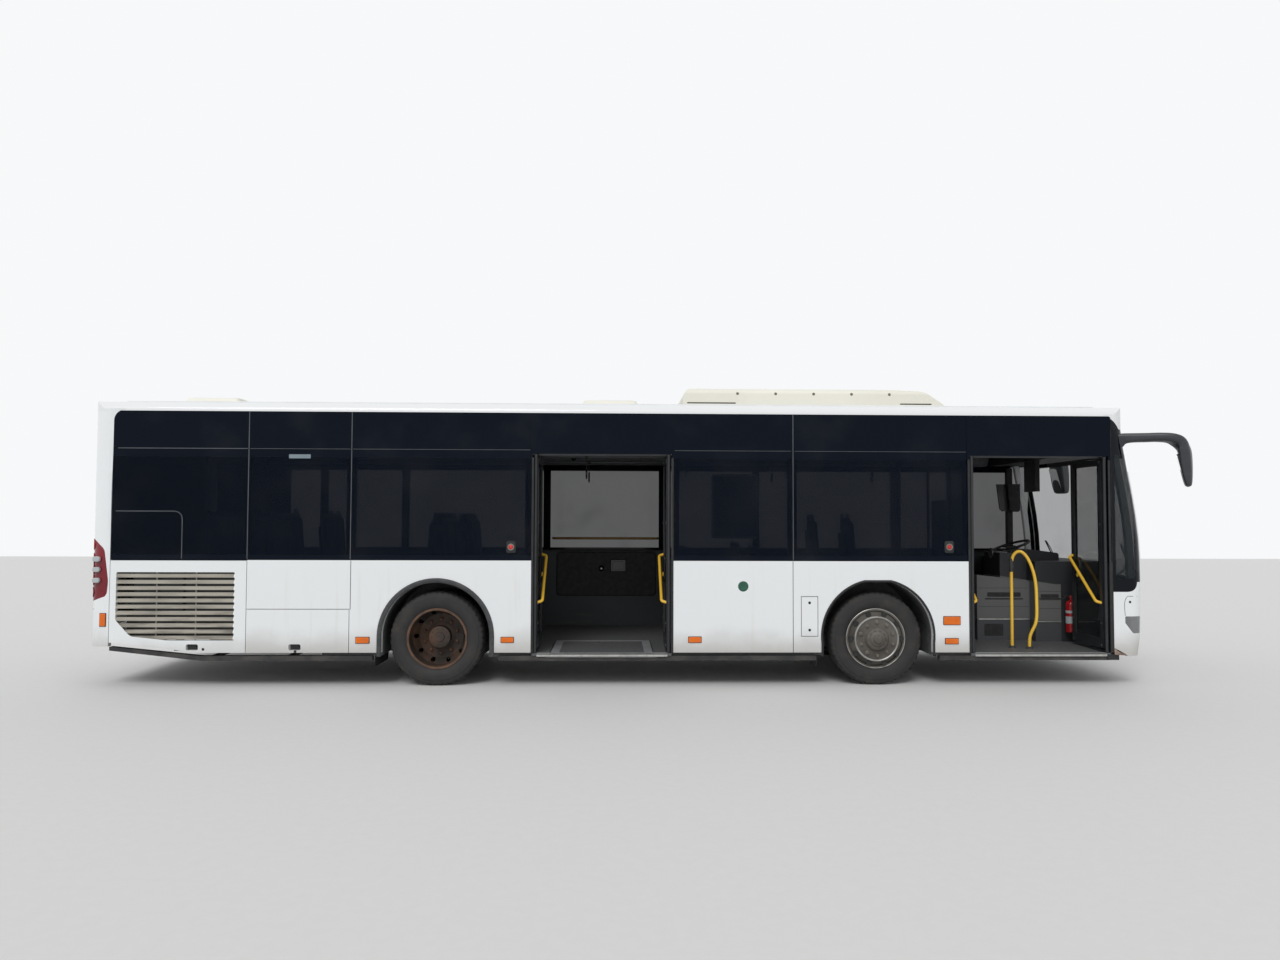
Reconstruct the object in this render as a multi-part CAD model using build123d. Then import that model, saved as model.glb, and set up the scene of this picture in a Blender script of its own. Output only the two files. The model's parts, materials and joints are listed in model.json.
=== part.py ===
from build123d import *
import math
import os

# Two-door low-floor city bus, in millimetres.
# X points forward, Y to the left side and Z up. The origin is on the ground, in the middle of the overall box.

# Driving dimensions
wheelbase = 4398
front_overhang = 2805
rear_overhang = 3427
body_width = 2550
roof_height = 2890
mirror_reach = 380
wall = 60
pane = 8
floor_top = 330
floor_plate = 25

# Heights
sill_bottom = 258
skirt_bottom = floor_top + 8
belt_height = 1245
window_bottom = 1300
window_top = 2262
pane_joint_height = 2345
header_height = 2310
mask_top = 942
screen_top = 2585
rear_panel_bottom = 400
podium_top = 725
housing_top = 1250
tower_top = 1726

# Radii of the body
crown_radius = 9000
cantrail_radius = 95
nose_radius = 8000
nose_corner = 150
tail_radius = 20000
tail_corner = 150
roof_rear_radius = 150
roof_front_radius = 80
nose_setback_top = 178
corner_step = 1

# Running gear
tyre_radius = 465
tyre_width = 274
bead_radius = 286
rim_half_width = 118
flange_radius = 302
barrel_thickness = 8
disc_offset = 157
disc_thickness = 14
stub_radius = 60
stub_clearance = 0.5
front_wheel_y = 1055
rear_pair_y = 917
kingpin_y = 960
kingpin_radius = 35
running_clearance = 0.1
box_sheet = 20
steer_angle = 45
steer_clearance = 41
steer_room_y = (kingpin_y - (tyre_radius + tyre_width / 2 - front_wheel_y + kingpin_y)
                * math.sin(math.radians(steer_angle)) - steer_clearance)
drop_box_outer = rear_pair_y - disc_offset - tyre_width / 2 - 6
drop_box_inner = drop_box_outer - 38
rear_box_y = drop_box_inner - 6

# Doors
jamb = 30
pillar_radius = 18
pillar_from_jamb = 28
leaf_thickness = 44
leaf_end_gap = 30
leaf_meeting_gap = 8
leaf_inset = 6
leaf_frame = 55
leaf_glass = 6
arm_thickness = 16
arm_width = 44
arm_gap = 6
door_pin_radius = 9
rail_radius = 15
gap = 6

# Stations along X
body_length = rear_overhang + wheelbase + front_overhang
overall_length = body_length + mirror_reach
rear_end = -overall_length / 2
front_end = rear_end + body_length
rear_axle = rear_end + rear_overhang
front_axle = rear_axle + wheelbase
half = body_width / 2
tail_corner_end = rear_end + 250
flap_joint = rear_axle - 1854
service_joint = rear_axle - 846
door_2_rear = rear_axle + 916
door_2_front = rear_axle + 2361
band_joint = front_axle - 857
door_1_rear = front_axle + 906
door_1_front = front_axle + 2383
mask_back = door_1_front + gap
podium_front = rear_axle - 1100
rear_arch_radius = tyre_radius + 65
rear_arch_height = tyre_radius + 30
front_arch_spread = tyre_radius + 85
front_arch_top = 2 * tyre_radius + 105
front_arch_leg = tyre_radius - 35
rear_sill_start = rear_arch_radius + 90
front_sill_start = front_arch_spread + 70
leaf_bottom = floor_top + 40
leaf_top = header_height - 2 * arm_gap - arm_thickness


def slab(x0, x1, y0, y1, z0, z1):
    """Box between two corners."""
    return Pos((x0 + x1) / 2, (y0 + y1) / 2, (z0 + z1) / 2) * Box(x1 - x0, y1 - y0, z1 - z0)


def both(piece):
    """The piece and its mirror image on the other side of the bus."""
    return [piece, mirror(piece, Plane.XZ)]


def face_of(*curves):
    """Face inside a closed run of curves."""
    return make_face([edge for curve in curves for edge in curve.edges()])


def rounded_face(corners):
    """Face with the given corners, each as two coordinates and the radius that rounds it."""
    arcs = []
    for number, (x, y, radius) in enumerate(corners):
        corner = Vector(x, y)
        before = (Vector(*corners[number - 1][:2]) - corner).normalized()
        after = (Vector(*corners[(number + 1) % len(corners)][:2]) - corner).normalized()
        spread = math.acos(max(-1, min(1, before.dot(after)))) / 2
        run = radius / math.tan(spread)
        middle = corner + (before + after).normalized() * (radius / math.sin(spread) - radius)
        arcs.append((corner + before * run, middle, corner + after * run))
    curves = []
    for number, (start, middle, end) in enumerate(arcs):
        following = arcs[(number + 1) % len(arcs)][0]
        if (end - start).length > 0.01:
            curves.append(ThreePointArc(start, middle, end))
        if (following - end).length > 0.01:
            curves.append(Line(end, following))
    return face_of(*curves)


def on_side(sketch, inner, outer):
    """Plate on the right side: a sketch in X and Z between two distances from the centre plane."""
    return extrude(Plane.XZ.offset(inner) * sketch, amount=outer - inner)


def across(sketch, low, high):
    """Bar along X: a sketch in Y and Z between two stations."""
    return extrude(Plane.YZ.offset(low) * sketch, amount=high - low)


def upright(x, y, low, high, radius):
    """Vertical round bar."""
    return Pos(x, y, (low + high) / 2) * Cylinder(radius, high - low)


def tube_path(points, radius, bend):
    """Round bar along a run of points with rounded corners."""
    path = FilletPolyline(*points, radius=bend) if len(points) > 2 else Polyline(*points)
    return sweep(Plane(origin=path @ 0, z_dir=path % 0) * Circle(radius), path=path)


def rounded_end(tip, big, small, half_size, inset):
    """Points of a shallow arc of radius big whose ends turn through small corner arcs into straight sides.

    They are the corner's start, a point on the corner, the tangent point and the tip, as distances
    forward and sideways, all set inwards by inset.
    """
    centre = tip - big
    side = half_size - small
    corner = centre + math.sqrt((big - small) ** 2 - side ** 2)
    turn = math.atan2(side, corner - centre)
    big_in = big - inset
    small_in = small - inset
    start = (corner, half_size - inset)
    middle_turn = (turn + math.pi / 2) / 2
    middle = (corner + small_in * math.cos(middle_turn), side + small_in * math.sin(middle_turn))
    tangent = (centre + big_in * math.cos(turn), big_in * math.sin(turn))
    return start, middle, tangent, (tip - inset, 0)


def nose_strip(height, setback, inset, thickness):
    """Horizontal section of a panel that wraps round the nose, at one height."""
    curves = []
    ends = []
    for depth in (inset, inset + thickness):
        start, middle, tangent, tip = rounded_end(front_end - setback, nose_radius, nose_corner, half, depth)
        side = half - depth
        curves += [Line((mask_back, -side), (start[0], -side)),
                   ThreePointArc((start[0], -side), (middle[0], -middle[1]), (tangent[0], -tangent[1])),
                   ThreePointArc((tangent[0], -tangent[1]), tip, tangent),
                   ThreePointArc(tangent, middle, (start[0], side)),
                   Line((start[0], side), (mask_back, side))]
        ends.append(side)
    for sign in (-1, 1):
        curves.append(Line((mask_back, sign * ends[0]), (mask_back, sign * ends[1])))
    return Pos(0, 0, height) * face_of(*curves)


def tail_strip(inset, thickness):
    """Horizontal section of a panel that wraps round the tail."""
    curves = []
    for depth in (inset, inset + thickness):
        start, middle, tangent, tip = rounded_end(-rear_end, tail_radius, tail_corner, half, depth)
        side = half - depth
        curves += [Line((tail_corner_end - gap, -side), (-start[0], -side)),
                   ThreePointArc((-start[0], -side), (-middle[0], -middle[1]), (-tangent[0], -tangent[1])),
                   ThreePointArc((-tangent[0], -tangent[1]), (-tip[0], 0), (-tangent[0], tangent[1])),
                   ThreePointArc((-tangent[0], tangent[1]), (-middle[0], middle[1]), (-start[0], side)),
                   Line((-start[0], side), (tail_corner_end - gap, side))]
    for sign in (-1, 1):
        curves.append(Line((tail_corner_end - gap, sign * (half - inset)),
                           (tail_corner_end - gap, sign * (half - inset - thickness))))
    return face_of(*curves)


def cross_face(inset):
    """Upper cross-section of the body in Y and Z: straight sides, cantrail arcs and crowned roof."""
    start, middle, tangent, tip = rounded_end(roof_height, crown_radius, cantrail_radius, half, inset)
    side = half - inset
    low = screen_top - 200
    return face_of(Line((-side, low), (-side, start[0])),
                   ThreePointArc((-side, start[0]), (-middle[1], middle[0]), (-tangent[1], tangent[0])),
                   ThreePointArc((-tangent[1], tangent[0]), (0, tip[0]), (tangent[1], tangent[0])),
                   ThreePointArc((tangent[1], tangent[0]), (middle[1], middle[0]), (side, start[0])),
                   Line((side, start[0]), (side, low)),
                   Line((side, low), (-side, low)))


def plan_face(inset):
    """Whole outline of the roof seen from above.

    Its sides stand a corner step outside the cross-section, so its corners meet the side walls at a small angle.
    """
    wide = half + corner_step
    nose = rounded_end(front_end - nose_setback_top, nose_radius, nose_corner, wide, inset)
    tail = rounded_end(-rear_end, tail_radius, tail_corner, wide, inset)
    side = wide - inset
    curves = []
    for sign in (-1, 1):
        start, middle, tangent, tip = nose
        curves.append(ThreePointArc((start[0], sign * side), (middle[0], sign * middle[1]),
                                    (tangent[0], sign * tangent[1])))
        curves.append(Line((-tail[0][0], sign * side), (start[0], sign * side)))
        start, middle, tangent, tip = tail
        curves.append(ThreePointArc((-start[0], sign * side), (-middle[0], sign * middle[1]),
                                    (-tangent[0], sign * tangent[1])))
    curves.append(ThreePointArc((nose[2][0], -nose[2][1]), nose[3], nose[2]))
    curves.append(ThreePointArc((-tail[2][0], -tail[2][1]), (-tail[3][0], 0), (-tail[2][0], tail[2][1])))
    return face_of(*curves)


def side_face(inset):
    """Side outline of the roof, a corner step too large all round and rounded more at the tail than at the nose."""
    rear = rear_end + inset - corner_step
    front = front_end - nose_setback_top - inset + corner_step
    top = roof_height - inset + corner_step
    rear_arc = roof_rear_radius - inset
    front_arc = roof_front_radius - inset
    low = screen_top - 100
    lean = 1 - math.sqrt(0.5)
    return face_of(Line((rear, low), (rear, top - rear_arc)),
                   ThreePointArc((rear, top - rear_arc), (rear + lean * rear_arc, top - lean * rear_arc),
                                 (rear + rear_arc, top)),
                   Line((rear + rear_arc, top), (front - front_arc, top)),
                   ThreePointArc((front - front_arc, top), (front - lean * front_arc, top - lean * front_arc),
                                 (front, top - front_arc)),
                   Line((front, top - front_arc), (front, low)),
                   Line((front, low), (rear, low)))


def roof_block(inset):
    """Solid under the roof's outer surface, set inwards."""
    plan = extrude(Pos(0, 0, screen_top - 50) * plan_face(inset), amount=500)
    side = on_side(side_face(inset), -half - 10, half + 10)
    cross = across(cross_face(inset), rear_end - 10, front_end + 10)
    return cross & side & plan


def cantrail_start():
    """Height at which the body's side begins to curve into the roof."""
    return rounded_end(roof_height, crown_radius, cantrail_radius, half, 0)[0][0]


band_top = math.floor(cantrail_start())


def make_roof():
    """Hollow roof with its cantrails, the nose cap above the windscreen and the rounded tail."""
    shell = roof_block(0) - roof_block(wall)
    below_sides = slab(rear_end - 5, mask_back - gap, -half - 5, half + 5, screen_top - 60, band_top)
    below_nose = slab(mask_back - gap - 1, front_end, -half - 5, half + 5, screen_top - 60, screen_top)
    return shell - below_sides - below_nose


def front_arch_curves(spread, top, low):
    """Front wheel arch: straight legs, wide arcs and a level crown."""
    x = front_axle
    leg = front_arch_leg
    return [Line((x - spread, low), (x - spread, leg)),
            ThreePointArc((x - spread, leg), (x - 0.78 * spread, leg + 0.69 * (top - leg)), (x - 135, top)),
            Line((x - 135, top), (x + 135, top)),
            ThreePointArc((x + 135, top), (x + 0.78 * spread, leg + 0.69 * (top - leg)), (x + spread, leg)),
            Line((x + spread, leg), (x + spread, low)),
            Line((x + spread, low), (x - spread, low))]


def front_arch(extra):
    """Face of the front wheel opening, grown by extra."""
    return face_of(*front_arch_curves(front_arch_spread + extra, front_arch_top + extra, 150))


def rear_arch(extra):
    """Face of the rear wheel opening, grown by extra."""
    x = rear_axle
    radius = rear_arch_radius + extra
    z = rear_arch_height
    return face_of(Line((x - radius, 150), (x - radius, z)),
                   ThreePointArc((x - radius, z), (x, z + radius), (x + radius, z)),
                   Line((x + radius, z), (x + radius, 150)),
                   Line((x + radius, 150), (x - radius, 150)))


filler_front = front_axle - front_arch_spread - 52
filler_rear = filler_front - 172
filler_low = 495
filler_high = 895
service_split = 761
rise_start = rear_end + 1134
rise_end_height = skirt_bottom + 100


def skirt_face(rear, front):
    """Outline of a lower side panel: its bottom edge rises towards the tail."""
    points = [(rear, belt_height), (front, belt_height), (front, skirt_bottom)]
    if rear < rise_start:
        points += [(rise_start, skirt_bottom), (rear, rise_end_height)]
    else:
        points += [(rear, skirt_bottom)]
    return make_face(Polyline(*points, close=True))


def lower_panels(stretches):
    """Lower side panels of the right side, with wheel openings, as separate plates."""
    plates = []
    for rear, front in stretches:
        plate = on_side(skirt_face(rear, front), half - wall, half)
        plate -= on_side(rear_arch(0), half - wall - 5, half + 5)
        plate -= on_side(front_arch(0), half - wall - 5, half + 5)
        plates.append(plate)
    return plates


def make_right_lower_panels():
    """Right skirt: a fixed panel above the service flap, and plates round both wheels."""
    above_flap = slab(flap_joint + gap / 2, service_joint, -half, -half + wall, service_split + gap, belt_height)
    rear_plate, middle_plate = lower_panels([(service_joint, door_2_rear + jamb),
                                             (door_2_front - jamb, door_1_rear + jamb)])
    filler = slab(filler_rear, filler_front, -half - 5, -half + wall + 5, filler_low, filler_high)
    return [above_flap + rear_plate, middle_plate - filler]


def make_left_lower_panels():
    """Left skirt from the tail corner to the nose mask."""
    plate = lower_panels([(tail_corner_end, mask_back - gap)])[0]
    return mirror(plate, Plane.XZ)


right_panes = [(tail_corner_end, flap_joint), (flap_joint, service_joint), (service_joint, door_2_rear),
               (door_2_front, band_joint), (band_joint, door_1_rear)]
left_panes = [(tail_corner_end, flap_joint), (flap_joint, service_joint), (service_joint, door_2_rear),
              (door_2_rear, door_2_front), (door_2_front, band_joint), (band_joint, door_1_rear),
              (door_1_rear, mask_back - gap)]
post_half = 45
rear_pane_window = 900


def window_band(panes, doorways, front):
    """Band behind the side glass: full-height posts, with a sill and a header at each window or doorway.

    The first pane hides the engine tower at its rear."""
    openings = [(rear + (rear_pane_window if number == 0 else post_half), ahead - post_half, window_bottom, window_top)
                for number, (rear, ahead) in enumerate(panes)]
    openings += [(rear + jamb, ahead - jamb, belt_height, header_height) for rear, ahead in doorways]
    boxes = []
    post_rear = tail_corner_end
    for start, end, low, high in sorted(openings):
        boxes.append((post_rear, start, belt_height, band_top))
        boxes.append((start, end, high, band_top))
        if low > belt_height:
            boxes.append((start, end, belt_height, low))
        post_rear = end
    boxes.append((post_rear, front, belt_height, band_top))
    return [slab(rear, ahead, -half + pane, -half + wall, low, high) for rear, ahead, low, high in boxes]


def side_glass(panes, headers):
    """Panes of one side with their joints, the dark strip above them and the panels over the doorways."""
    glass = []
    for rear, front in panes:
        glass.append(slab(rear + 2, front - 2, -half, -half + pane, belt_height + 2, pane_joint_height - 2))
        glass.append(slab(rear + 2, front - 2, -half, -half + pane, pane_joint_height + 2, band_top - 2))
    for rear, front in headers:
        glass.append(slab(rear + 2, front - 2, -half, -half + pane, header_height, band_top - 2))
        for low, high in ((rear + 2, rear + jamb), (front - jamb, front - 2)):
            glass.append(slab(low, high, -half, -half + pane, belt_height + 2, header_height - 2))
    return glass


doorways = [(door_2_rear, door_2_front), (door_1_rear, door_1_front)]


def mask_shell(inset, thickness):
    """Nose panel below the screen, before its openings are cut."""
    sections = [(300, 42), (480, 14), (mask_top, 0)]
    return loft([nose_strip(z, setback, inset, thickness) for z, setback in sections], ruled=True)


lamp_inner_y = 820
lens_thickness = 6
# Outline of the headlamp seen from the side, from the front end, with the radius of each corner
lamp_outline = [(-302, 697, 10), (-302, 630, 30), (-223, 527, 25), (20, 527, 0), (20, 697, 0)]
bowl_table = [(-1145, 615, 62), (-1000, 615, 62), (-880, 612, 42)]


def lamp_pockets():
    """Openings through both front corners for the headlamps."""
    outline = rounded_face([(front_end + x, z, radius) for x, z, radius in lamp_outline])
    return both(on_side(outline, lamp_inner_y, half + 5))


def screen_pillars():
    """The two raked pillars behind the screen's corners."""
    posts = []
    for sign in (-1, 1):
        feet = []
        for z, setback in screen_sections:
            centre = rounded_end(front_end - setback, nose_radius, nose_corner, half, 0)[0][0]
            feet.append(Pos(centre + 24, sign * (half - 75), z) * Rectangle(60, 60))
        posts.append(loft(feet, ruled=True))
    return posts


intake_half = 420
intake_height = 20
intake_levels = (560, 600, 640)
bumper_corner = 288
bumper_lift = 66


def make_front_mask():
    """Lower nose panel with its bumper, and the two raked screen pillars that stand on it."""
    mask = mask_shell(0, wall)
    for pocket in lamp_pockets():
        mask -= pocket
    for level in intake_levels:
        mask -= slab(front_end - 200, front_end + 5, -intake_half, intake_half, level, level + intake_height)
    under = make_face(Polyline((mask_back - 5, 290), (front_end - bumper_corner, 290),
                               (front_end - bumper_corner, 311), (mask_back - 5, 311 + bumper_lift), close=True))
    mask -= on_side(under, -half - 5, half + 5)
    posts = screen_pillars()
    return mask + posts[0] + posts[1]


# Height and setback of the screen's sections
screen_sections = [(mask_top, 0), (1250, 2), (1480, 14), (1720, 40), (1960, 78), (2200, 122), (2400, 155),
                   (screen_top, nose_setback_top)]


def make_windscreen():
    """One-piece raked screen that wraps round both corners to the side walls."""
    screen = loft([nose_strip(z, setback, 0, pane) for z, setback in screen_sections], ruled=True)
    return screen - slab(mask_back, front_end, -half, half, screen_top - 4, screen_top + 5)


def nose_plan(setback, inset, rear):
    """Filled outline of the nose seen from above, back to a station."""
    start, middle, tangent, tip = rounded_end(front_end - setback, nose_radius, nose_corner, half, inset)
    side = half - inset
    return face_of(Line((rear, -side), (start[0], -side)),
                   ThreePointArc((start[0], -side), (middle[0], -middle[1]), (tangent[0], -tangent[1])),
                   ThreePointArc((tangent[0], -tangent[1]), tip, tangent),
                   ThreePointArc(tangent, middle, (start[0], side)),
                   Line((start[0], side), (rear, side)),
                   Line((rear, side), (rear, -side)))


def screen_block():
    """Solid under the screen's outer surface."""
    return loft([Pos(0, 0, z) * nose_plan(setback, 0, mask_back) for z, setback in screen_sections], ruled=True)


rear_window_low = 1780
rear_window_high = 2480
rear_window_half = 980
engine_flap_low = 560
engine_flap_high = 1330
engine_flap_half = 820


def tail_piece(inset, thickness, low, high):
    """Stretch of the wrapped tail between two heights."""
    return extrude(Pos(0, 0, low) * tail_strip(inset, thickness), amount=high - low)


def make_rear_panel():
    """Tail wall with the corner turns, its window opening and the opening of the engine flap."""
    panel = tail_piece(0, wall, rear_panel_bottom, band_top)
    low = rear_end - 5
    high = rear_end + 200
    panel -= slab(low, high, -rear_window_half, rear_window_half, rear_window_low, rear_window_high)
    panel -= slab(low, high, -engine_flap_half, engine_flap_half, engine_flap_low, engine_flap_high)
    panel -= tail_lamp_pockets()
    return panel


lamp_width = 150
# Outline of the tail lamp seen from the side, from the rear end, with the radius of each corner
tail_lamp_outline = [(-5, 1490, 0), (108, 1423, 30), (189, 1351, 90), (232, 1037, 300), (222, 919, 60),
                     (203, 887, 20), (101, 851, 20), (-5, 815, 0)]


def tail_lamp_pockets():
    """Tall curved openings through the tail's corners that the lamps fill."""
    outline = rounded_face([(rear_end + x, z, radius) for x, z, radius in tail_lamp_outline])
    pocket = on_side(outline, half - lamp_width, half + 5)
    return pocket + mirror(pocket, Plane.XZ)


def make_tail_lamps():
    """Lamps that follow the tail's corners."""
    return tail_piece(0, wall - 10, 700, 1500) & tail_lamp_pockets()


def make_rear_window():
    """Rear window pane that fills the tail wall's opening."""
    pane_box = slab(rear_end - 5, rear_end + 200, -rear_window_half, rear_window_half,
                    rear_window_low, rear_window_high)
    return tail_piece(0, pane, rear_window_low, rear_window_high) & pane_box


def make_engine_flap():
    """Top-hinged engine flap, as thick as the tail wall."""
    flap_box = slab(rear_end - 5, rear_end + 200, -engine_flap_half + gap, engine_flap_half - gap,
                    engine_flap_low + gap, engine_flap_high - gap)
    return tail_piece(0, 45, engine_flap_low, engine_flap_high) & flap_box


flap_thickness = 40
louvre_count = 11
louvre_rise = 36
louvre_sheet = 9
rib_width = 12
handle_depth = 25
grille_rear = rear_end + 308
grille_front = flap_joint - 116
grille_low = 458
grille_high = 1125


def handle_pocket(rear):
    """Recess for the fingers, low in a flap of the right side."""
    outline = rounded_face([(rear, 361, 18), (rear + 118, 361, 18), (rear + 118, 421, 18), (rear, 421, 18)])
    return on_side(outline, half - handle_depth, half + 5)


def make_radiator_flap():
    """Radiator flap: a frame round a large opening with one swept corner, and slanted louvres on two ribs."""
    outline = make_face(Polyline((tail_corner_end, belt_height - gap), (flap_joint - gap / 2, belt_height - gap),
                                 (flap_joint - gap / 2, skirt_bottom), (rise_start, skirt_bottom),
                                 (tail_corner_end, rise_end_height), close=True))
    flap = on_side(outline, half - flap_thickness, half)
    window = rounded_face([(grille_rear, grille_high, 12), (grille_front, grille_high, 12),
                           (grille_front, grille_low, 8), (grille_rear + 512, grille_low, 60),
                           (grille_rear + 146, grille_low + 39, 90), (grille_rear, grille_low + 200, 60)])
    opening = on_side(window, half - flap_thickness - 5, half + 10)
    flap -= opening
    pitch = (grille_high - grille_low) / louvre_count
    inner = half - flap_thickness + rib_width
    slat = make_face(Polyline((half - 3, 0), (half - 3, louvre_sheet), (inner + louvre_sheet, louvre_rise),
                              (inner, louvre_rise), (inner, louvre_rise - louvre_sheet), close=True))
    for number in range(louvre_count):
        bar = across(mirror(Pos(0, grille_low + 8 + number * pitch) * slat, Plane.YZ), grille_rear, grille_front)
        flap += bar & opening
    for share in (1 / 3, 2 / 3):
        x = grille_rear + share * (grille_front - grille_rear)
        rib = slab(x - rib_width / 2, x + rib_width / 2, -inner - 1, -half + flap_thickness, grille_low, grille_high)
        flap += rib & opening
    return flap - handle_pocket(flap_joint - 577)


def make_service_flap():
    """Plain lower flap between the radiator flap and the rear wheel, with its handle recess."""
    flap = slab(flap_joint + gap / 2, service_joint - gap, -half, -half + flap_thickness, skirt_bottom, service_split)
    return flap - handle_pocket(service_joint - 589)


def make_filler_flap():
    """Small flap over the fuel filler."""
    return slab(filler_rear + gap, filler_front - gap, -half, -half + 20, filler_low + gap, filler_high - gap)


floor_bottom = floor_top - floor_plate
sill_inner = half - 85
sill_outer = half - 15
rail_inner = 420
rail_outer = 480
rail_bottom = sill_bottom - 8
rail_top = rail_bottom + 32
bar_half = 30
cradle_top = 400
cradle_height = 30
# Stations of the cross-members
member_stations = [rear_axle - 2180, rear_axle - 1440, rear_axle - rear_arch_radius - 170,
                   rear_axle + rear_arch_radius + 170, rear_axle + 1030, rear_axle + 2250, rear_axle + 2950,
                   front_axle - front_arch_spread - 150, front_axle + front_arch_spread + 150,
                   front_axle + 1484, mask_back - 120]
# Where each long rail begins and ends
rail_spans = [(rear_axle - 2900, rear_axle - 160), (rear_axle + 160, front_axle - 110),
              (front_axle + 110, mask_back - 90)]


def rail_bridge(axle, beam_half, beam_top):
    """Piece that carries the long rails over an axle beam and rests on it."""
    far = beam_half + 100
    profile = make_face(Polyline((axle - far, rail_top), (axle - beam_half, rail_top), (axle - beam_half, beam_top),
                                 (axle + beam_half, beam_top), (axle + beam_half, rail_top), (axle + far, rail_top),
                                 (axle + far, floor_bottom), (axle - far, floor_bottom), close=True))
    return on_side(profile, rail_inner, rail_outer)


def make_underframe():
    """Sill rails, long rails with cross-members on top, bridges over the axles and the engine's cradle."""
    bars = []
    tray_room = slab(ramp_rear - tray_edge, ramp_front + tray_edge, -half, -sill_inner + 1, floor_bottom - 20, floor_top)
    for rear, front in ((rear_axle + rear_sill_start, front_axle - front_sill_start),
                        (front_axle + front_sill_start, mask_back - 40)):
        left, right = both(slab(rear, front, -sill_outer, -sill_inner, sill_bottom, floor_bottom))
        bars += [left - tray_room, right - tray_room]
    rise = make_face(Polyline((rear_axle - rear_sill_start, floor_bottom), (rear_axle - rear_sill_start, sill_bottom),
                              (rise_start, sill_bottom), (tail_corner_end, sill_bottom + 100),
                              (tail_corner_end, floor_bottom + 90), (rise_start, floor_bottom), close=True))
    bars += both(on_side(rise, sill_inner, sill_outer))
    for station in member_stations:
        bars.append(slab(station - bar_half, station + bar_half, -sill_inner, sill_inner, rail_top, floor_bottom))
    for rear, front in rail_spans:
        bars += both(slab(rear, front, -rail_outer, -rail_inner, rail_bottom, rail_top))
    bars += both(rail_bridge(rear_axle, 160, rear_beam_top))
    bars += both(rail_bridge(front_axle, 110, front_beam_top))
    under_podium = podium_top - floor_plate
    for station in (rail_spans[0][0] + 20, podium_front - 90):
        bars += both(slab(station, station + 60, -rail_outer, -rail_inner, rail_top, under_podium))
    second = rear_end + 1300
    bars += both(slab(second, second + 60, -rail_outer, -rail_inner, rail_top, cradle_top))
    for station in (rail_spans[0][0] + 20, second):
        bars.append(slab(station, station + 60, -rail_inner, rail_inner, cradle_top - cradle_height, cradle_top))
    return bars


rear_box_top = rear_arch_height + rear_arch_radius + box_sheet
front_box_top = front_arch_top + box_sheet
box_corner = 40


def rear_box_face():
    """Flat-topped outline of a rear wheel box."""
    far = rear_arch_radius + box_sheet
    return make_face(Polyline((rear_axle - far, 150), (rear_axle - far, rear_box_top - box_corner),
                              (rear_axle - far + box_corner, rear_box_top), (rear_axle + far - box_corner, rear_box_top),
                              (rear_axle + far, rear_box_top - box_corner), (rear_axle + far, 150), close=True))


def wheel_box(opening, outline, inner_y, outer_y):
    """Sheet box over a wheel of the right side, closed on the inside."""
    tunnel = on_side(outline, inner_y, outer_y) - on_side(opening, inner_y + box_sheet, outer_y + 1)
    return tunnel - slab(rear_end, front_end, -half, half, 100, floor_bottom)


housing_front = rear_end + 960
floor_edge = half - wall
tray_edge = 40


def make_floor():
    """Low floor with the ramp's tray, wheel boxes, and the raised tail with the engine housing and the tower."""
    nose_room = rounded_end(front_end - 60, nose_radius, nose_corner, half, wall)[0][0]
    deck = slab(podium_front, nose_room, -floor_edge, floor_edge, floor_bottom, floor_top)
    for rear, front in doorways:
        deck += slab(rear + jamb, front - jamb, -half + 4, -floor_edge, floor_bottom, floor_top)
    deck += slab(ramp_rear - tray_edge, ramp_front + tray_edge, -half + 4, ramp_hinge_y + ramp_depth + tray_edge,
                 floor_bottom - 20, floor_bottom)
    deck -= slab(ramp_rear - gap, ramp_front + gap, ramp_hinge_y - 30, ramp_hinge_y + ramp_depth + gap,
                 floor_top - ramp_plate - gap, floor_top + 5)
    boxes = []
    shelf = slab(rear_axle - rear_arch_radius + box_corner, rear_axle + rear_arch_radius - box_corner,
                 -rear_box_y + box_sheet, -side_bench[1] + seat_half, rear_box_top - box_sheet, rear_box_top)
    for opening, outline, inner_y in ((front_arch(0), front_arch(box_sheet), steer_room_y),
                                      (rear_arch(0), rear_box_face(), rear_box_y)):
        footprint = on_side(outline, inner_y - box_sheet, half)
        deck = deck - footprint - mirror(footprint, Plane.XZ)
        box = wheel_box(opening, outline, inner_y - box_sheet, floor_edge)
        boxes += both(box + shelf if inner_y == rear_box_y else box)
    under = podium_top - floor_plate
    podium = slab(rear_end + wall + 40, podium_front, -floor_edge, floor_edge, under, podium_top)
    riser = slab(podium_front - floor_plate, podium_front, -floor_edge, floor_edge, floor_bottom, under)
    lid = slab(rear_end + wall + 40, housing_front, -floor_edge, floor_edge, housing_top - floor_plate, housing_top)
    wall_front = slab(housing_front - floor_plate, housing_front, -floor_edge, floor_edge, podium_top,
                      housing_top - floor_plate)
    tower = slab(rear_end + 220, housing_front, -floor_edge, -floor_edge + 700, housing_top, tower_top)
    tail = tail_piece(0, wall, rear_panel_bottom, tower_top)
    return [deck] + boxes + [piece - tail for piece in (podium, riser, lid, wall_front, tower)]


ramp_rear = door_2_rear + 210
ramp_front = door_2_front - 210
ramp_hinge_y = -half + 2
ramp_depth = 1020
ramp_plate = 22


def make_ramp():
    """Fold-out ramp: a plate with a frame that lies in the floor of the middle doorway."""
    plate = slab(ramp_rear, ramp_front, ramp_hinge_y, ramp_hinge_y + ramp_depth,
                 floor_top - ramp_plate, floor_top - 4)
    rim = slab(ramp_rear, ramp_front, ramp_hinge_y, ramp_hinge_y + ramp_depth,
               floor_top - ramp_plate, floor_top)
    rim -= slab(ramp_rear + 35, ramp_front - 35, ramp_hinge_y + 35, ramp_hinge_y + ramp_depth - 35,
                floor_top - ramp_plate - 5, floor_top + 5)
    return plate + rim


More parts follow.
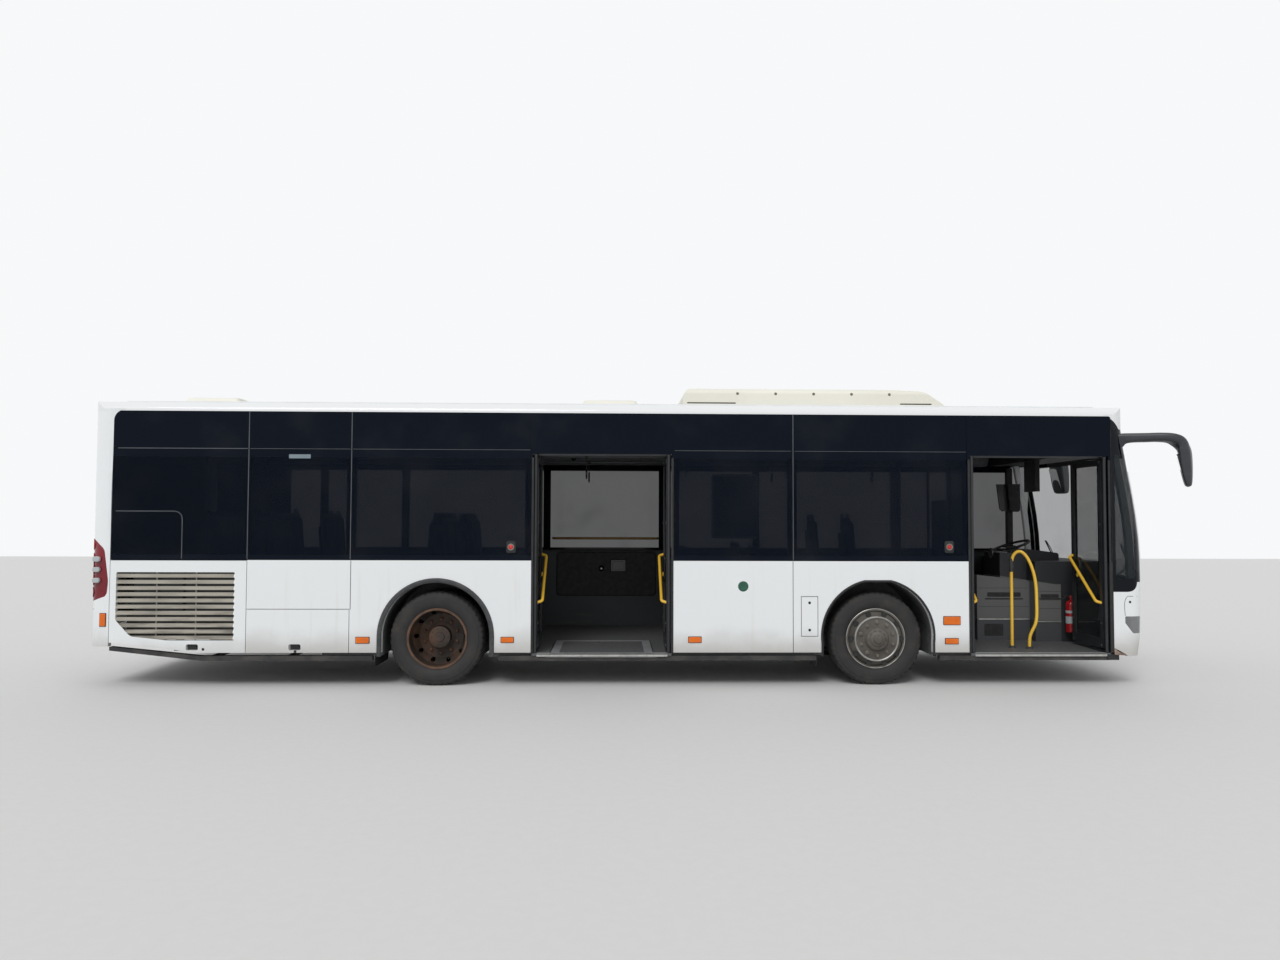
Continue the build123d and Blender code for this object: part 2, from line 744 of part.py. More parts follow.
def make_engine():
    """Engine block at its place in the tail, and the radiator core behind the louvres."""
    under = podium_top - floor_plate
    block = slab(rear_end + 200, rear_end + 1450, -250, 400, 400, under)
    core = slab(grille_rear + 40, grille_front - 40, -half + 150, -half + 260, grille_low + 20, under)
    return [block, core]


front_beam_top = floor_bottom - 35
rear_beam_top = floor_bottom - 15


def make_front_axle():
    """Dropped beam with an eye for each kingpin."""
    eye_top = tyre_radius + 40
    eye_low = tyre_radius - 40
    eye_side = kingpin_y - 42
    low = front_beam_top - 90
    outline = [(-eye_side, eye_top), (-eye_side + 68, eye_top - 65), (-740, front_beam_top), (740, front_beam_top),
               (eye_side - 68, eye_top - 65), (eye_side, eye_top), (kingpin_y, eye_top), (kingpin_y, eye_low),
               (eye_side, eye_low), (eye_side - 38, eye_low - 95), (780, low), (-780, low),
               (-eye_side + 38, eye_low - 95), (-eye_side, eye_low), (-kingpin_y, eye_low), (-kingpin_y, eye_top)]
    beam = across(make_face(Polyline(*outline, close=True)), front_axle - 40, front_axle + 40)
    for sign in (-1, 1):
        beam += upright(front_axle, sign * kingpin_y, eye_low, eye_top, 44)
        beam -= upright(front_axle, sign * kingpin_y, eye_low - 5, eye_top + 5, kingpin_radius + running_clearance)
    return beam


def make_knuckle():
    """Right steering knuckle: kingpin, two rounded lugs, upright plate and stub axle."""
    x = front_axle
    y = -kingpin_y
    z = tyre_radius
    pin = upright(x, y, z - 105, z + 105, kingpin_radius)
    knuckle = pin + slab(x - 60, x + 60, y - 85, y - 55, z - 100, z + 100)
    for low in (z - 100, z + 65):
        knuckle += slab(x - 45, x + 45, y - 85, y, low, low + 35) + upright(x, y, low, low + 35, 45)
    stub_end = front_wheel_y + disc_offset
    stub = Pos(x, (y - 60 - stub_end) / 2, z) * Rot(90, 0, 0) * Cylinder(stub_radius, stub_end + y - 60)
    return knuckle + stub


def make_rear_axle():
    """Low portal axle: beam under the aisle with its drive housing, drop boxes and stub axles."""
    x = rear_axle
    low = rear_beam_top - 95
    beam = slab(x - 90, x + 90, -drop_box_outer, drop_box_outer, low, rear_beam_top)
    housing = Pos(x, 250, rear_beam_top - 55) * Rot(90, 0, 0) * Cylinder(105, 260)
    beam += housing & slab(x - 200, x + 200, -600, 600, low - 45, rear_beam_top)
    stub_end = rear_pair_y + 70
    for sign in (-1, 1):
        inner, outer = sorted((sign * drop_box_inner, sign * drop_box_outer))
        beam += slab(x - 110, x + 110, inner, outer, low, tyre_radius + 75)
        middle = (drop_box_inner + stub_end) / 2
        beam += Pos(x, sign * middle, tyre_radius) * Rot(90, 0, 0) * Cylinder(stub_radius, stub_end - drop_box_inner)
    return beam


def make_tyre():
    """Tyre section turned about the wheel's axis, which is Y."""
    side = tyre_width / 2
    top = tyre_radius
    bead = 104
    foot = flange_radius + 1
    section = face_of(Line((bead_radius, -bead), (bead_radius, bead)),
                      Line((bead_radius, bead), (foot, bead)),
                      ThreePointArc((foot, bead), (bead_radius + 94, side), (top - 20, 122)),
                      Line((top - 20, 122), (top, 104)),
                      Line((top, 104), (top, -104)),
                      Line((top, -104), (top - 20, -122)),
                      ThreePointArc((top - 20, -122), (bead_radius + 94, -side), (foot, -bead)),
                      Line((foot, -bead), (bead_radius, -bead)))
    return revolve(section, axis=Axis.Y)


hand_hole_count = 10
hand_hole_circle = 250
hand_hole_radius = 23


def hand_holes(low, high):
    """Round holes near the edge of a wheel disc, along Y."""
    hole = Pos(hand_hole_circle, (low + high) / 2, 0) * Rot(90, 0, 0) * Cylinder(hand_hole_radius, high - low)
    holes = hole
    for number in range(1, hand_hole_count):
        holes += Rot(0, number * 360 / hand_hole_count, 0) * hole
    return holes


def make_rim():
    """Rim with its disc bulging towards minus Y and a hub that turns on the stub axle."""
    inner = bead_radius - barrel_thickness
    face = -disc_offset
    back = face + disc_thickness
    section = make_face(Polyline((flange_radius, -rim_half_width), (flange_radius, -105), (bead_radius, -105),
                                 (bead_radius, 105), (flange_radius, 105), (flange_radius, rim_half_width),
                                 (inner, rim_half_width), (inner, -70), (225, back), (110, back), (110, -60),
                                 (stub_radius + stub_clearance, -60), (stub_radius + stub_clearance, face - 20),
                                 (110, face - 20), (125, face), (225, face), (inner, -95), (inner, -rim_half_width),
                                 close=True))
    return revolve(section, axis=Axis.Y) - hand_holes(face - 10, back + 70)


def wheel_place(x, y):
    return Pos(x, y, tyre_radius)


def front_wheel():
    """Right front tyre and rim."""
    place = wheel_place(front_axle, -front_wheel_y)
    cap = Pos(0, -disc_offset - 26, 0) * Rot(90, 0, 0) * Cylinder(75, 18)
    return place * make_tyre(), place * (make_rim() + cap)


def rear_wheels():
    """Right twin wheels: two tyres, and two rims bolted back to back with one hub."""
    outer = wheel_place(rear_axle, -rear_pair_y - disc_offset)
    inner = wheel_place(rear_axle, -rear_pair_y + disc_offset)
    half_section = make_face(Polyline((flange_radius, -rim_half_width), (flange_radius, -105), (bead_radius, -105),
                                      (bead_radius, 105), (flange_radius, 105), (flange_radius, rim_half_width),
                                      (bead_radius - barrel_thickness, rim_half_width),
                                      (bead_radius - barrel_thickness, 95), (225, disc_offset), (140, disc_offset),
                                      (140, disc_offset - disc_thickness), (225, disc_offset - disc_thickness),
                                      (bead_radius - barrel_thickness, 70),
                                      (bead_radius - barrel_thickness, -rim_half_width), close=True))
    rim = revolve(half_section, axis=Axis.Y) - hand_holes(60, disc_offset + 10)
    hub_section = make_face(Polyline((stub_radius + stub_clearance, -110), (stub_radius + stub_clearance, 120),
                                     (145, 120), (145, -20), (106, -30), (106, -110), close=True))
    hub = Pos(rear_axle, -rear_pair_y, tyre_radius) * revolve(hub_section, axis=Axis.Y)
    cap = Pos(rear_axle, -rear_pair_y - 118, tyre_radius) * Rot(90, 0, 0) * Cylinder(106, 20)
    rims = outer * rim + inner * mirror(rim, Plane.XZ) + hub + cap
    return [outer * make_tyre(), inner * make_tyre()], rims


def door_arm_length(rear, front):
    """Arm from the pillar to the leaf's pin, so that two leaves meet in the middle of the doorway."""
    reach = (front - rear) / 2 - jamb - pillar_from_jamb
    return (reach - leaf_meeting_gap / 2 + leaf_end_gap) / 2


door_y = -half + leaf_inset + leaf_thickness / 2


def make_pillar(x, arm):
    """Turning pillar of one leaf with its lower and upper arms, pointing inwards as when the door is open."""
    low = floor_top + arm_gap
    high = header_height - arm_gap
    pillar = upright(x, door_y, low, high, pillar_radius)
    for bottom in (low, high - arm_thickness):
        top = bottom + arm_thickness
        arm_bar = slab(x - arm_width / 2, x + arm_width / 2, door_y, door_y + arm, bottom, top)
        arm_bar += upright(x, door_y, bottom, top, arm_width / 2)
        arm_bar += upright(x, door_y + arm, bottom, top, arm_width / 2)
        arm_bar -= upright(x, door_y + arm, bottom - 1, top + 1, door_pin_radius + running_clearance)
        pillar += arm_bar
    return pillar


def leaf_span(arm):
    """Nearest and farthest Y of an open leaf."""
    return door_y + leaf_end_gap, door_y + 2 * arm - leaf_end_gap


def make_leaf(x, arm, inward):
    """Open door leaf: a frame with a low rail, its two pins and a slanted handrail on the doorway side."""
    near, far = leaf_span(arm)
    thick = leaf_thickness / 2
    frame = slab(x - thick, x + thick, near, far, leaf_bottom, leaf_top)
    frame -= slab(x - thick - 5, x + thick + 5, near + leaf_frame, far - leaf_frame,
                  leaf_bottom + 95, leaf_top - leaf_frame)
    for low, high in ((leaf_bottom - arm_gap - arm_thickness, leaf_bottom), (leaf_top, leaf_top + arm_gap + arm_thickness)):
        frame += upright(x, door_y + arm, low, high, door_pin_radius)
    side = x + inward * (thick + 45)
    root = x + inward * (thick - 6)
    rail = tube_path([(root, near + 28, leaf_bottom + 455), (side, near + 45, leaf_bottom + 470),
                      (side, far - 45, leaf_bottom + 900), (root, far - 28, leaf_bottom + 915)], rail_radius, 30)
    return frame + rail


def make_leaf_glass(x, arm):
    """Pane of an open leaf."""
    near, far = leaf_span(arm)
    return slab(x - leaf_glass / 2, x + leaf_glass / 2, near + leaf_frame, far - leaf_frame,
                leaf_bottom + 95, leaf_top - leaf_frame)


# Doorway name, rear and front jamb lines
door_table = [("front_door", door_1_rear, door_1_front), ("middle_door", door_2_rear, door_2_front)]


def door_sets():
    """Pillar, leaf and glass of the four leaves, by name."""
    nodes = {}
    for doorway, rear, front in door_table:
        arm = door_arm_length(rear, front)
        for place, x, inward in (("rear", rear + jamb + pillar_from_jamb, 1),
                                 ("front", front - jamb - pillar_from_jamb, -1)):
            name = f"{doorway}_{place}"
            nodes[f"{name}_pillar"] = make_pillar(x, arm)
            nodes[f"{name}_leaf"] = make_leaf(x, arm, inward)
            nodes[f"{name}_glass"] = make_leaf_glass(x, arm)
    return nodes


pan_height = 15
cushion_height = 60
seat_depth = 430
seat_half = 205
shell_sheet = 14
back_height = 620
back_lean = 44
back_foot = 75
pad_thick = 42
seat_pitch = 415
rear_bench_pitch = 450
window_seat_y = floor_edge - 10 - seat_half
side_bench = (window_seat_y, window_seat_y - seat_pitch)
rear_bench_count = int(2 * floor_edge // rear_bench_pitch)
rear_bench = tuple((number - (rear_bench_count - 1) / 2) * rear_bench_pitch for number in range(rear_bench_count))
front_seat_y = (steer_room_y + floor_edge) / 2
driver_y = half - 635
cab_floor = floor_top + 180
# Benches: station of the back's foot, height of what carries them, leg height, seats across, heading in degrees
bench_table = [(rear_end + 1030, podium_top, 330, rear_bench, 0)]
for sign in (-1, 1):
    seats_across = tuple(sign * y for y in side_bench)
    bench_table += [(rear_end + 1820, podium_top, 360, seats_across, 0),
                    (rear_axle - 80, rear_box_top, 0, seats_across, 180),
                    (rear_axle + 80, rear_box_top, 0, seats_across, 0),
                    (rear_axle + 2520, floor_top, 380, seats_across, 0),
                    (rear_axle + 3260, floor_top, 380, seats_across, 0),
                    (front_axle - 200, front_box_top, 0, (sign * front_seat_y,), 0)]
driver_bench = (front_axle + 1500, cab_floor, 300, (driver_y,), 0)
bench_table.append(driver_bench)


def back_line(height):
    """Distance forward of the front of a seat's back shell at a height above the pan."""
    return shell_sheet - back_lean * max(0, height - back_foot) / (back_height - back_foot)


def make_pads(leg):
    """Cushion and back pad of one seat at the origin, facing forward."""
    cushion = slab(shell_sheet, seat_depth, -seat_half, seat_half, leg + pan_height, leg + pan_height + cushion_height)
    corners = []
    for height, depth in ((back_foot, 0), (back_foot, pad_thick), (back_height - 20, pad_thick), (back_height - 20, 0)):
        corners.append((back_line(height) + depth, leg + height))
    return [cushion, on_side(make_face(Polyline(*corners, close=True)), -seat_half, seat_half)]


def make_bench_frame(leg, low, high):
    """Back shell and pan of a bench, with its pedestals, at the origin and facing forward."""
    profile = [(0, leg), (shell_sheet, leg), (shell_sheet, leg + back_foot), (back_line(back_height), leg + back_height),
               (back_line(back_height) - shell_sheet, leg + back_height), (0, leg + back_foot)]
    shell = on_side(make_face(Polyline(*profile, close=True)), -high, -low)
    pan = slab(shell_sheet, seat_depth - 15, low, high, leg, leg + pan_height)
    pedestals = []
    if leg:
        spots = [(low + high) / 2] if high - low < 1000 else [low * 0.6, high * 0.6]
        pedestals = [slab(130, 290, y - 55, y + 55, 0, leg) for y in spots]
    return [shell, pan] + pedestals


def make_seats():
    """Cushions and back pads of all seats."""
    pads = []
    for x, z, leg, places, heading in bench_table:
        for y in places:
            pads += [Pos(x, y, z) * Rot(0, 0, heading) * pad for pad in make_pads(leg)]
    return pads


def make_seat_frames():
    """Back shells, pans and pedestals that carry the seats."""
    frames = []
    for x, z, leg, places, heading in bench_table:
        turn = -1 if heading else 1
        ends = sorted((turn * (min(places) - seat_half), turn * (max(places) + seat_half)))
        frames += [Pos(x, 0, z) * Rot(0, 0, heading) * piece for piece in make_bench_frame(leg, *ends)]
    return frames


cab_rear = front_axle + 1400
dash_rear = front_axle + 1990
desk_top = 955
dash_top = 1207
cabinet_rear_top = 1051
pod_top = 1328
leaf_reach = -half + leaf_inset + leaf_thickness / 2 + 2 * door_arm_length(door_1_rear, door_1_front) - leaf_end_gap
desk_side = leaf_reach + 200
cabinet_side = leaf_reach + 350
cabinet_thick = 70
till_half = 225
foot_depth = 450
foot_half = 230
partition_top = 1900


def make_cab_console():
    """Driver's platform, side cabinet, desk with a foot well, dashboard with its pod, till block and partition."""
    inner = cabinet_side + cabinet_thick
    side = half - wall - 5
    nose = extrude(Pos(0, 0, floor_top) * nose_plan(42, wall, cab_rear - 50), amount=mask_top - floor_top)
    screen_room = extrude(Pos(0, 0, mask_top) * nose_plan(4, pane + 2, cab_rear - 50), amount=500)
    platform = slab(cab_rear, front_end, inner, side, floor_top, cab_floor) & nose
    face = make_face(Polyline((cab_rear, floor_top), (cab_rear, cabinet_rear_top), (dash_rear, desk_top + 30),
                              (dash_rear, floor_top), close=True))
    cabinet = on_side(face, -inner, -cabinet_side)
    foot_well = slab(dash_rear - 5, dash_rear + foot_depth, driver_y - foot_half, driver_y + foot_half, cab_floor,
                     mask_top - 50)
    desk = (slab(dash_rear, front_end, desk_side, side, floor_top, mask_top) & nose) - platform - foot_well
    dash = slab(dash_rear, front_end, desk_side, side - 60, mask_top, dash_top) & screen_room
    till = slab(cab_rear + 288, dash_rear, inner, inner + 2 * till_half, cab_floor, dash_top + 86)
    pod_profile = rounded_face([(dash_rear + 25, dash_top, 0), (dash_rear + 25, pod_top - 20, 20),
                                (dash_rear + 120, pod_top, 60), (dash_rear + 430, dash_top + 80, 30),
                                (dash_rear + 430, dash_top, 0)])
    pod = on_side(pod_profile, -driver_y + 230, -inner - 130)
    partition = slab(cab_rear - 30, cab_rear, inner + 300, side, floor_top, partition_top)
    return [platform, cabinet, desk, dash, till, pod, partition]


steering_x = front_axle + 2154
steering_y = driver_y + 20
steering_z = 1347
steering_tilt = 18
wheel_radius = 215


def make_steering_wheel():
    """Steering wheel with three spokes and a hub, on a column that stands on the dashboard."""
    place = Pos(steering_x, steering_y, steering_z) * Rot(0, -steering_tilt, 0)
    wheel = Torus(wheel_radius, 14) + Pos(0, 0, -25) * Cylinder(52, 34)
    for turn in (0, 90, 180):
        wheel += Rot(0, 0, turn) * (Pos(0, wheel_radius / 2, -14) * Box(34, wheel_radius, 10))
    column = Pos(0, 0, -120) * Cylinder(26, 190)
    return place * (wheel + column) - slab(dash_rear, front_end, 0, half, dash_top - 200, dash_top)


pole_radius = 16
rail_y = 520
rail_z = 2330
# Stations of the poles from floor to ceiling on each side, and of the hangers between them
pole_table = [(-1, rear_axle + 860), (-1, rear_axle + 2420), (-1, front_axle + 760), (1, rear_axle + 860),
              (1, front_axle + 760)]
hanger_stations = [rear_axle - 1400, rear_axle, front_axle - 1300]


def ceiling_at(y):
    """Height of the roof's inner surface at a distance from the centre plane."""
    return roof_height - crown_radius + math.sqrt((crown_radius - wall) ** 2 - y ** 2)


socket_radius = 22
socket_half = 30


def make_grab_rails():
    """Ceiling rails in lengths between their hangers and poles, and the bent pole beside the front doorway."""
    rails = []
    rear = rear_axle - 1500
    front = front_axle + 1100
    ceiling = ceiling_at(rail_y + pole_radius)
    for sign in (-1, 1):
        y = sign * rail_y
        posts = [(x, rail_z - socket_radius) for x in hanger_stations]
        posts += [(x, floor_top) for side, x in pole_table if side == sign]
        starts = [rear]
        for x, foot in sorted(posts):
            socket = Pos(x, y, rail_z) * Rot(0, 90, 0) * Cylinder(socket_radius, 2 * socket_half)
            rails.append(upright(x, y, foot, ceiling, pole_radius) + socket)
            starts += [x - socket_half, x + socket_half]
        starts.append(front)
        for low, high in zip(starts[::2], starts[1::2]):
            rails.append(Pos((low + high) / 2, y, rail_z) * Rot(0, 90, 0) * Cylinder(pole_radius, high - low))
    x = front_axle + 1527
    y = -half + 425
    bent = tube_path([(x, y, floor_top), (x, y, 1290), (x + 60, y - 30, 1345), (x + 148, y - 110, 1180),
                      (x + 150, y - 120, 620), (x + 96, y - 110, 480), (x + 96, y - 110, floor_top)], pole_radius, 38)
    rails.append(bent)
    return rails


# Right mirror seen from the side: arm and shell, from the nose or from the shell's tip
mirror_foot = -383
shell_depth = 190


def make_mirrors():
    """Two mirrors: broad arms that leave the roof's front corners, curve ahead of the nose and end in deep shells."""
    tip = front_end + mirror_reach
    root = front_end + mirror_foot
    side = rounded_face([(root, 2440, 0), (tip - 300, 2462, 60), (tip - 172, 2400, 80), (tip - 150, 2280, 120),
                         (tip - 104, 1998, 15), (tip - 66, 1994, 12), (tip - 8, 2045, 50), (tip, 2200, 200),
                         (tip - 30, 2420, 120), (tip - 150, 2549, 150), (root + 90, 2553, 20), (root + 60, 2640, 0),
                         (root, 2640, 0)])
    outer = half + 200
    inner = half - 10
    plan = rounded_face([(root, -half + 110, 0), (root, -half + 38, 0), (tip - 290, -outer + 10, 200),
                         (tip - 120, -outer, 60), (tip + 1, -outer, 70), (tip + 1, -inner, 55),
                         (tip - shell_depth, -inner, 60), (tip - 300, -half + 40, 120)])
    body = on_side(side, half - 200, outer + 20) & extrude(Pos(0, 0, 1900) * plan, amount=900)
    return both(body - roof_block(0) - screen_block())


def make_headlamps():
    """Lenses that fill the headlamp openings."""
    return [mask_shell(0, lens_thickness) & pocket for pocket in lamp_pockets()]


def make_headlamp_bodies():
    """Lamp bodies behind the lenses, with a row of round reflector bowls."""
    bodies = [mask_shell(lens_thickness, wall - lens_thickness) & pocket for pocket in lamp_pockets()]
    hollow = []
    for body in bodies:
        for y, z, radius in bowl_table:
            for sign in (-1, 1):
                ahead = Pos(front_end - 60 + nose_room_at(y), sign * y, z) * Rot(0, 90, 0) * Cylinder(radius, 90)
                body -= ahead
        hollow.append(body)
    return hollow


def nose_room_at(y):
    """How far the nose falls back at a distance from the centre plane."""
    return -(nose_radius - math.sqrt(nose_radius ** 2 - y ** 2))


pod_rear = rear_end + 5890
pod_front = rear_end + 8617
pod_half = 950
pod_height = 3062
fan_radius = 210
fan_depth = 30


def make_air_conditioning():
    """Roof pod: rounded at its rear, long slope at its front, soft shoulders and three fan wells."""
    low = roof_height - 60
    section = rounded_face([(-pod_half, low, 0), (pod_half, low, 0), (pod_half, 3000, 45), (600, pod_height, 300),
                            (-600, pod_height, 300), (-pod_half, 3000, 45)])
    side = rounded_face([(pod_rear, low, 0), (pod_front, low, 0), (pod_front, 2862, 10), (pod_front - 190, 2990, 260),
                         (pod_front - 480, pod_height + 1, 500), (pod_rear, pod_height + 1, 170)])
    pod = across(section, pod_rear - 5, pod_front + 5) & on_side(side, -pod_half - 5, pod_half + 5)
    for number in range(3):
        x = pod_rear + 560 + number * 680
        pod -= Pos(x, 0, pod_height) * Cylinder(fan_radius, 2 * fan_depth)
    return pod - roof_block(0)


# Roof hatches: station and length
hatch_table = [(rear_end + 505, 604), (pod_rear - 1065, 620)]
hatch_half = 330
hatch_base = 2925
hatch_top = 2962


def make_hatches():
    """Two low roof hatches: a base frame and a tapered lid."""
    hatches = []
    for x, length in hatch_table:
        middle = x + length / 2
        frame = slab(x + 15, x + length - 15, -hatch_half + 15, hatch_half - 15, roof_height - 40, hatch_base)
        lid = loft([Pos(middle, 0, hatch_base - 12) * RectangleRounded(length, 2 * hatch_half, 40),
                    Pos(middle, 0, hatch_top) * RectangleRounded(length - 50, 2 * hatch_half - 50, 40)])
        hatches.append(frame + lid - roof_block(0))
    return hatches


display_rear = front_end - 760
display_front = front_end - 310
display_half = 1000
display_low = 2330
monitor_half = 150
monitor_low = 1985


def make_destination_display():
    """Box of the destination display across the nose under the roof, with the monitor that hangs from it."""
    upper = slab(display_rear, display_front, -display_half, display_half, screen_top - 45, roof_height) & roof_block(wall)
    box = upper + slab(display_rear, display_front, -display_half, display_half, display_low, screen_top - 44)
    return box + slab(display_rear + 60, display_rear + 110, -monitor_half, monitor_half, monitor_low, display_low + 5)


duct_inner = 960
duct_low = 2330


def make_ceiling_ducts():
    """Air ducts along both edges of the ceiling."""
    rear = rear_end + 970
    front = display_rear - 20
    middle = screen_top - 45
    lower = make_face(Polyline((duct_inner, middle + 1), (duct_inner, middle - 60), (duct_inner + 60, duct_low + 20),
                               (duct_inner + 100, duct_low), (floor_edge, duct_low), (floor_edge, middle + 1),
                               close=True))
    upper = slab(rear, front, duct_inner, half, middle, roof_height) & roof_block(wall)
    return both(across(lower, rear, front) + upper)


bottle_radius = 55
bottle_low = 437


def make_fire_extinguisher():
    """Fire extinguisher on a bracket at the side of the dashboard's desk."""
    r = bottle_radius
    profile = rounded_face([(0, 0, 0), (r, 0, 14), (r, 330, 45), (14, 352, 6), (14, 372, 0), (22, 372, 0), (22, 400, 4),
                            (0, 400, 0)])
    bottle = Pos(front_end - 450, desk_side - r - 6, bottle_low) * revolve(Plane.XZ * profile, axis=Axis.Z)
    bracket = slab(front_end - 470, front_end - 430, desk_side - 20, desk_side, bottle_low + 120, bottle_low + 160)
    return bottle + bracket


def mirrored_side(pieces):
    """Pieces of the right side moved to the left."""
    return [mirror(piece, Plane.XZ) for piece in pieces]


def all_nodes():
    """Every node with its solids."""
    nodes = {
        "underframe": make_underframe(),
        "floor": make_floor(),
        "right_lower_panels": make_right_lower_panels(),
        "right_window_band": window_band(right_panes, doorways, mask_back - gap),
        "right_windows": side_glass(right_panes, doorways),
        "left_lower_panels": make_left_lower_panels(),
        "left_window_band": mirrored_side(window_band(left_panes, [], mask_back - gap)),
        "left_windows": mirrored_side(side_glass(left_panes, [])),
        "roof": make_roof(),
        "front_mask": make_front_mask(),
        "windscreen": make_windscreen(),
        "rear_panel": make_rear_panel(),
        "rear_window": make_rear_window(),
        "air_conditioning_unit": make_air_conditioning(),
        "roof_hatches": make_hatches(),
        "engine": make_engine(),
        "front_axle": make_front_axle(),
        "rear_axle": make_rear_axle(),
        "seats": make_seats(),
        "seat_frames": make_seat_frames(),
        "cab_console": make_cab_console(),
        "steering_wheel": make_steering_wheel(),
        "grab_rails": make_grab_rails(),
        "mirrors": make_mirrors(),
        "headlamps": make_headlamps(),
        "headlamp_bodies": make_headlamp_bodies(),
        "destination_display": make_destination_display(),
        "ceiling_ducts": make_ceiling_ducts(),
        "fire_extinguisher": make_fire_extinguisher(),
        "tail_lamps": make_tail_lamps(),
        "engine_flap": make_engine_flap(),
        "radiator_flap": make_radiator_flap(),
        "service_flap": make_service_flap(),
        "filler_flap": make_filler_flap(),
        "ramp": make_ramp(),
    }
    tyre, rim = front_wheel()
    tyres, rims = rear_wheels()
    knuckle = make_knuckle()
    for side in ("right", "left"):
        turn = (lambda piece: piece) if side == "right" else (lambda piece: mirror(piece, Plane.XZ))
        nodes[f"{side}_knuckle"] = turn(knuckle)
        nodes[f"front_{side}_tyre"] = turn(tyre)
        nodes[f"front_{side}_rim"] = turn(rim)
        nodes[f"rear_{side}_tyres"] = [turn(piece) for piece in tyres]
        nodes[f"rear_{side}_rims"] = turn(rims)
    nodes.update(door_sets())
    return nodes


def solids_of(shape):
    """Flat list of the solids in a shape or list of shapes."""
    if isinstance(shape, (list, tuple, ShapeList)):
        return [solid for piece in shape for solid in solids_of(piece)]
    return list(shape.solids())


os.makedirs("parts", exist_ok=True)
for name, shape in all_nodes().items():
    solids = solids_of(shape)
    body = solids[0] if len(solids) == 1 else Compound(children=solids)
    export_step(body, f"parts/{name}.step")
    print(name, len(solids), flush=True)
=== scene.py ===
import json
import math

import bmesh
import bpy
import numpy as np
from mathutils import Matrix, Vector

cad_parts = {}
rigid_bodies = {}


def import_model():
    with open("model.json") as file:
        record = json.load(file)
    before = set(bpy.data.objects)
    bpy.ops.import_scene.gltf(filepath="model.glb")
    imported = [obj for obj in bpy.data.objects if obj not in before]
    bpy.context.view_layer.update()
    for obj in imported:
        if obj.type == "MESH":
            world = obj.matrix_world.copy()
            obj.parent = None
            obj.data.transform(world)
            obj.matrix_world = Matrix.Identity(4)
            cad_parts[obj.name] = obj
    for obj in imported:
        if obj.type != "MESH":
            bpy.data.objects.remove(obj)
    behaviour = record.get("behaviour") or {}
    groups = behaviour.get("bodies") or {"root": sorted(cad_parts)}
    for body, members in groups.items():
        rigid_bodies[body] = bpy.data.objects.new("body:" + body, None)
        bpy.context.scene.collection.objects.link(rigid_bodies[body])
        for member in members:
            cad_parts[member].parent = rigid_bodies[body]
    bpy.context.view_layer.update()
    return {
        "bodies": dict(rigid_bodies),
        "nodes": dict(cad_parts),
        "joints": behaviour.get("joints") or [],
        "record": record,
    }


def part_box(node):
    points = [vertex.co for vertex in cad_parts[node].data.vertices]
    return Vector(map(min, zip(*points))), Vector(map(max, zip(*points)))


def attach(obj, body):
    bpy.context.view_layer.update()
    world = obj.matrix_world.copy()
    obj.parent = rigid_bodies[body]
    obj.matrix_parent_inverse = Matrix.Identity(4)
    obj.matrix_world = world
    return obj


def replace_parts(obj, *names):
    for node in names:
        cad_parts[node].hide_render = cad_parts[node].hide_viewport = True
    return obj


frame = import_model()
nodes = frame["nodes"]
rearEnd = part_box("rear_panel")[0].x
print("frame loaded,", len(nodes), "nodes")


def middleX(name):
    low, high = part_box(name)
    return (low.x + high.x) / 2


def intoScene(name, data):
    made = bpy.data.objects.new(name, data)
    bpy.context.scene.collection.objects.link(made)
    return made


class Wire:  # a number, colour or vector on its way through the nodes
    def __init__(self, finish, socket):
        self.finish = finish
        self.socket = socket


# Arithmetic with wires: each sign makes one math node, with the wire on its left or its right.
def giveSign(sign, operation):
    setattr(Wire, f"__{sign}__", lambda wire, other=0: wire.finish.sum(operation, wire, other))
    setattr(Wire, f"__r{sign}__", lambda wire, other=0: wire.finish.sum(operation, other, wire))


for sign, operation in (("add", "ADD"), ("sub", "SUBTRACT"), ("mul", "MULTIPLY"), ("truediv", "DIVIDE"),
                        ("lt", "LESS_THAN"), ("gt", "GREATER_THAN"), ("abs", "ABSOLUTE")):
    giveSign(sign, operation)


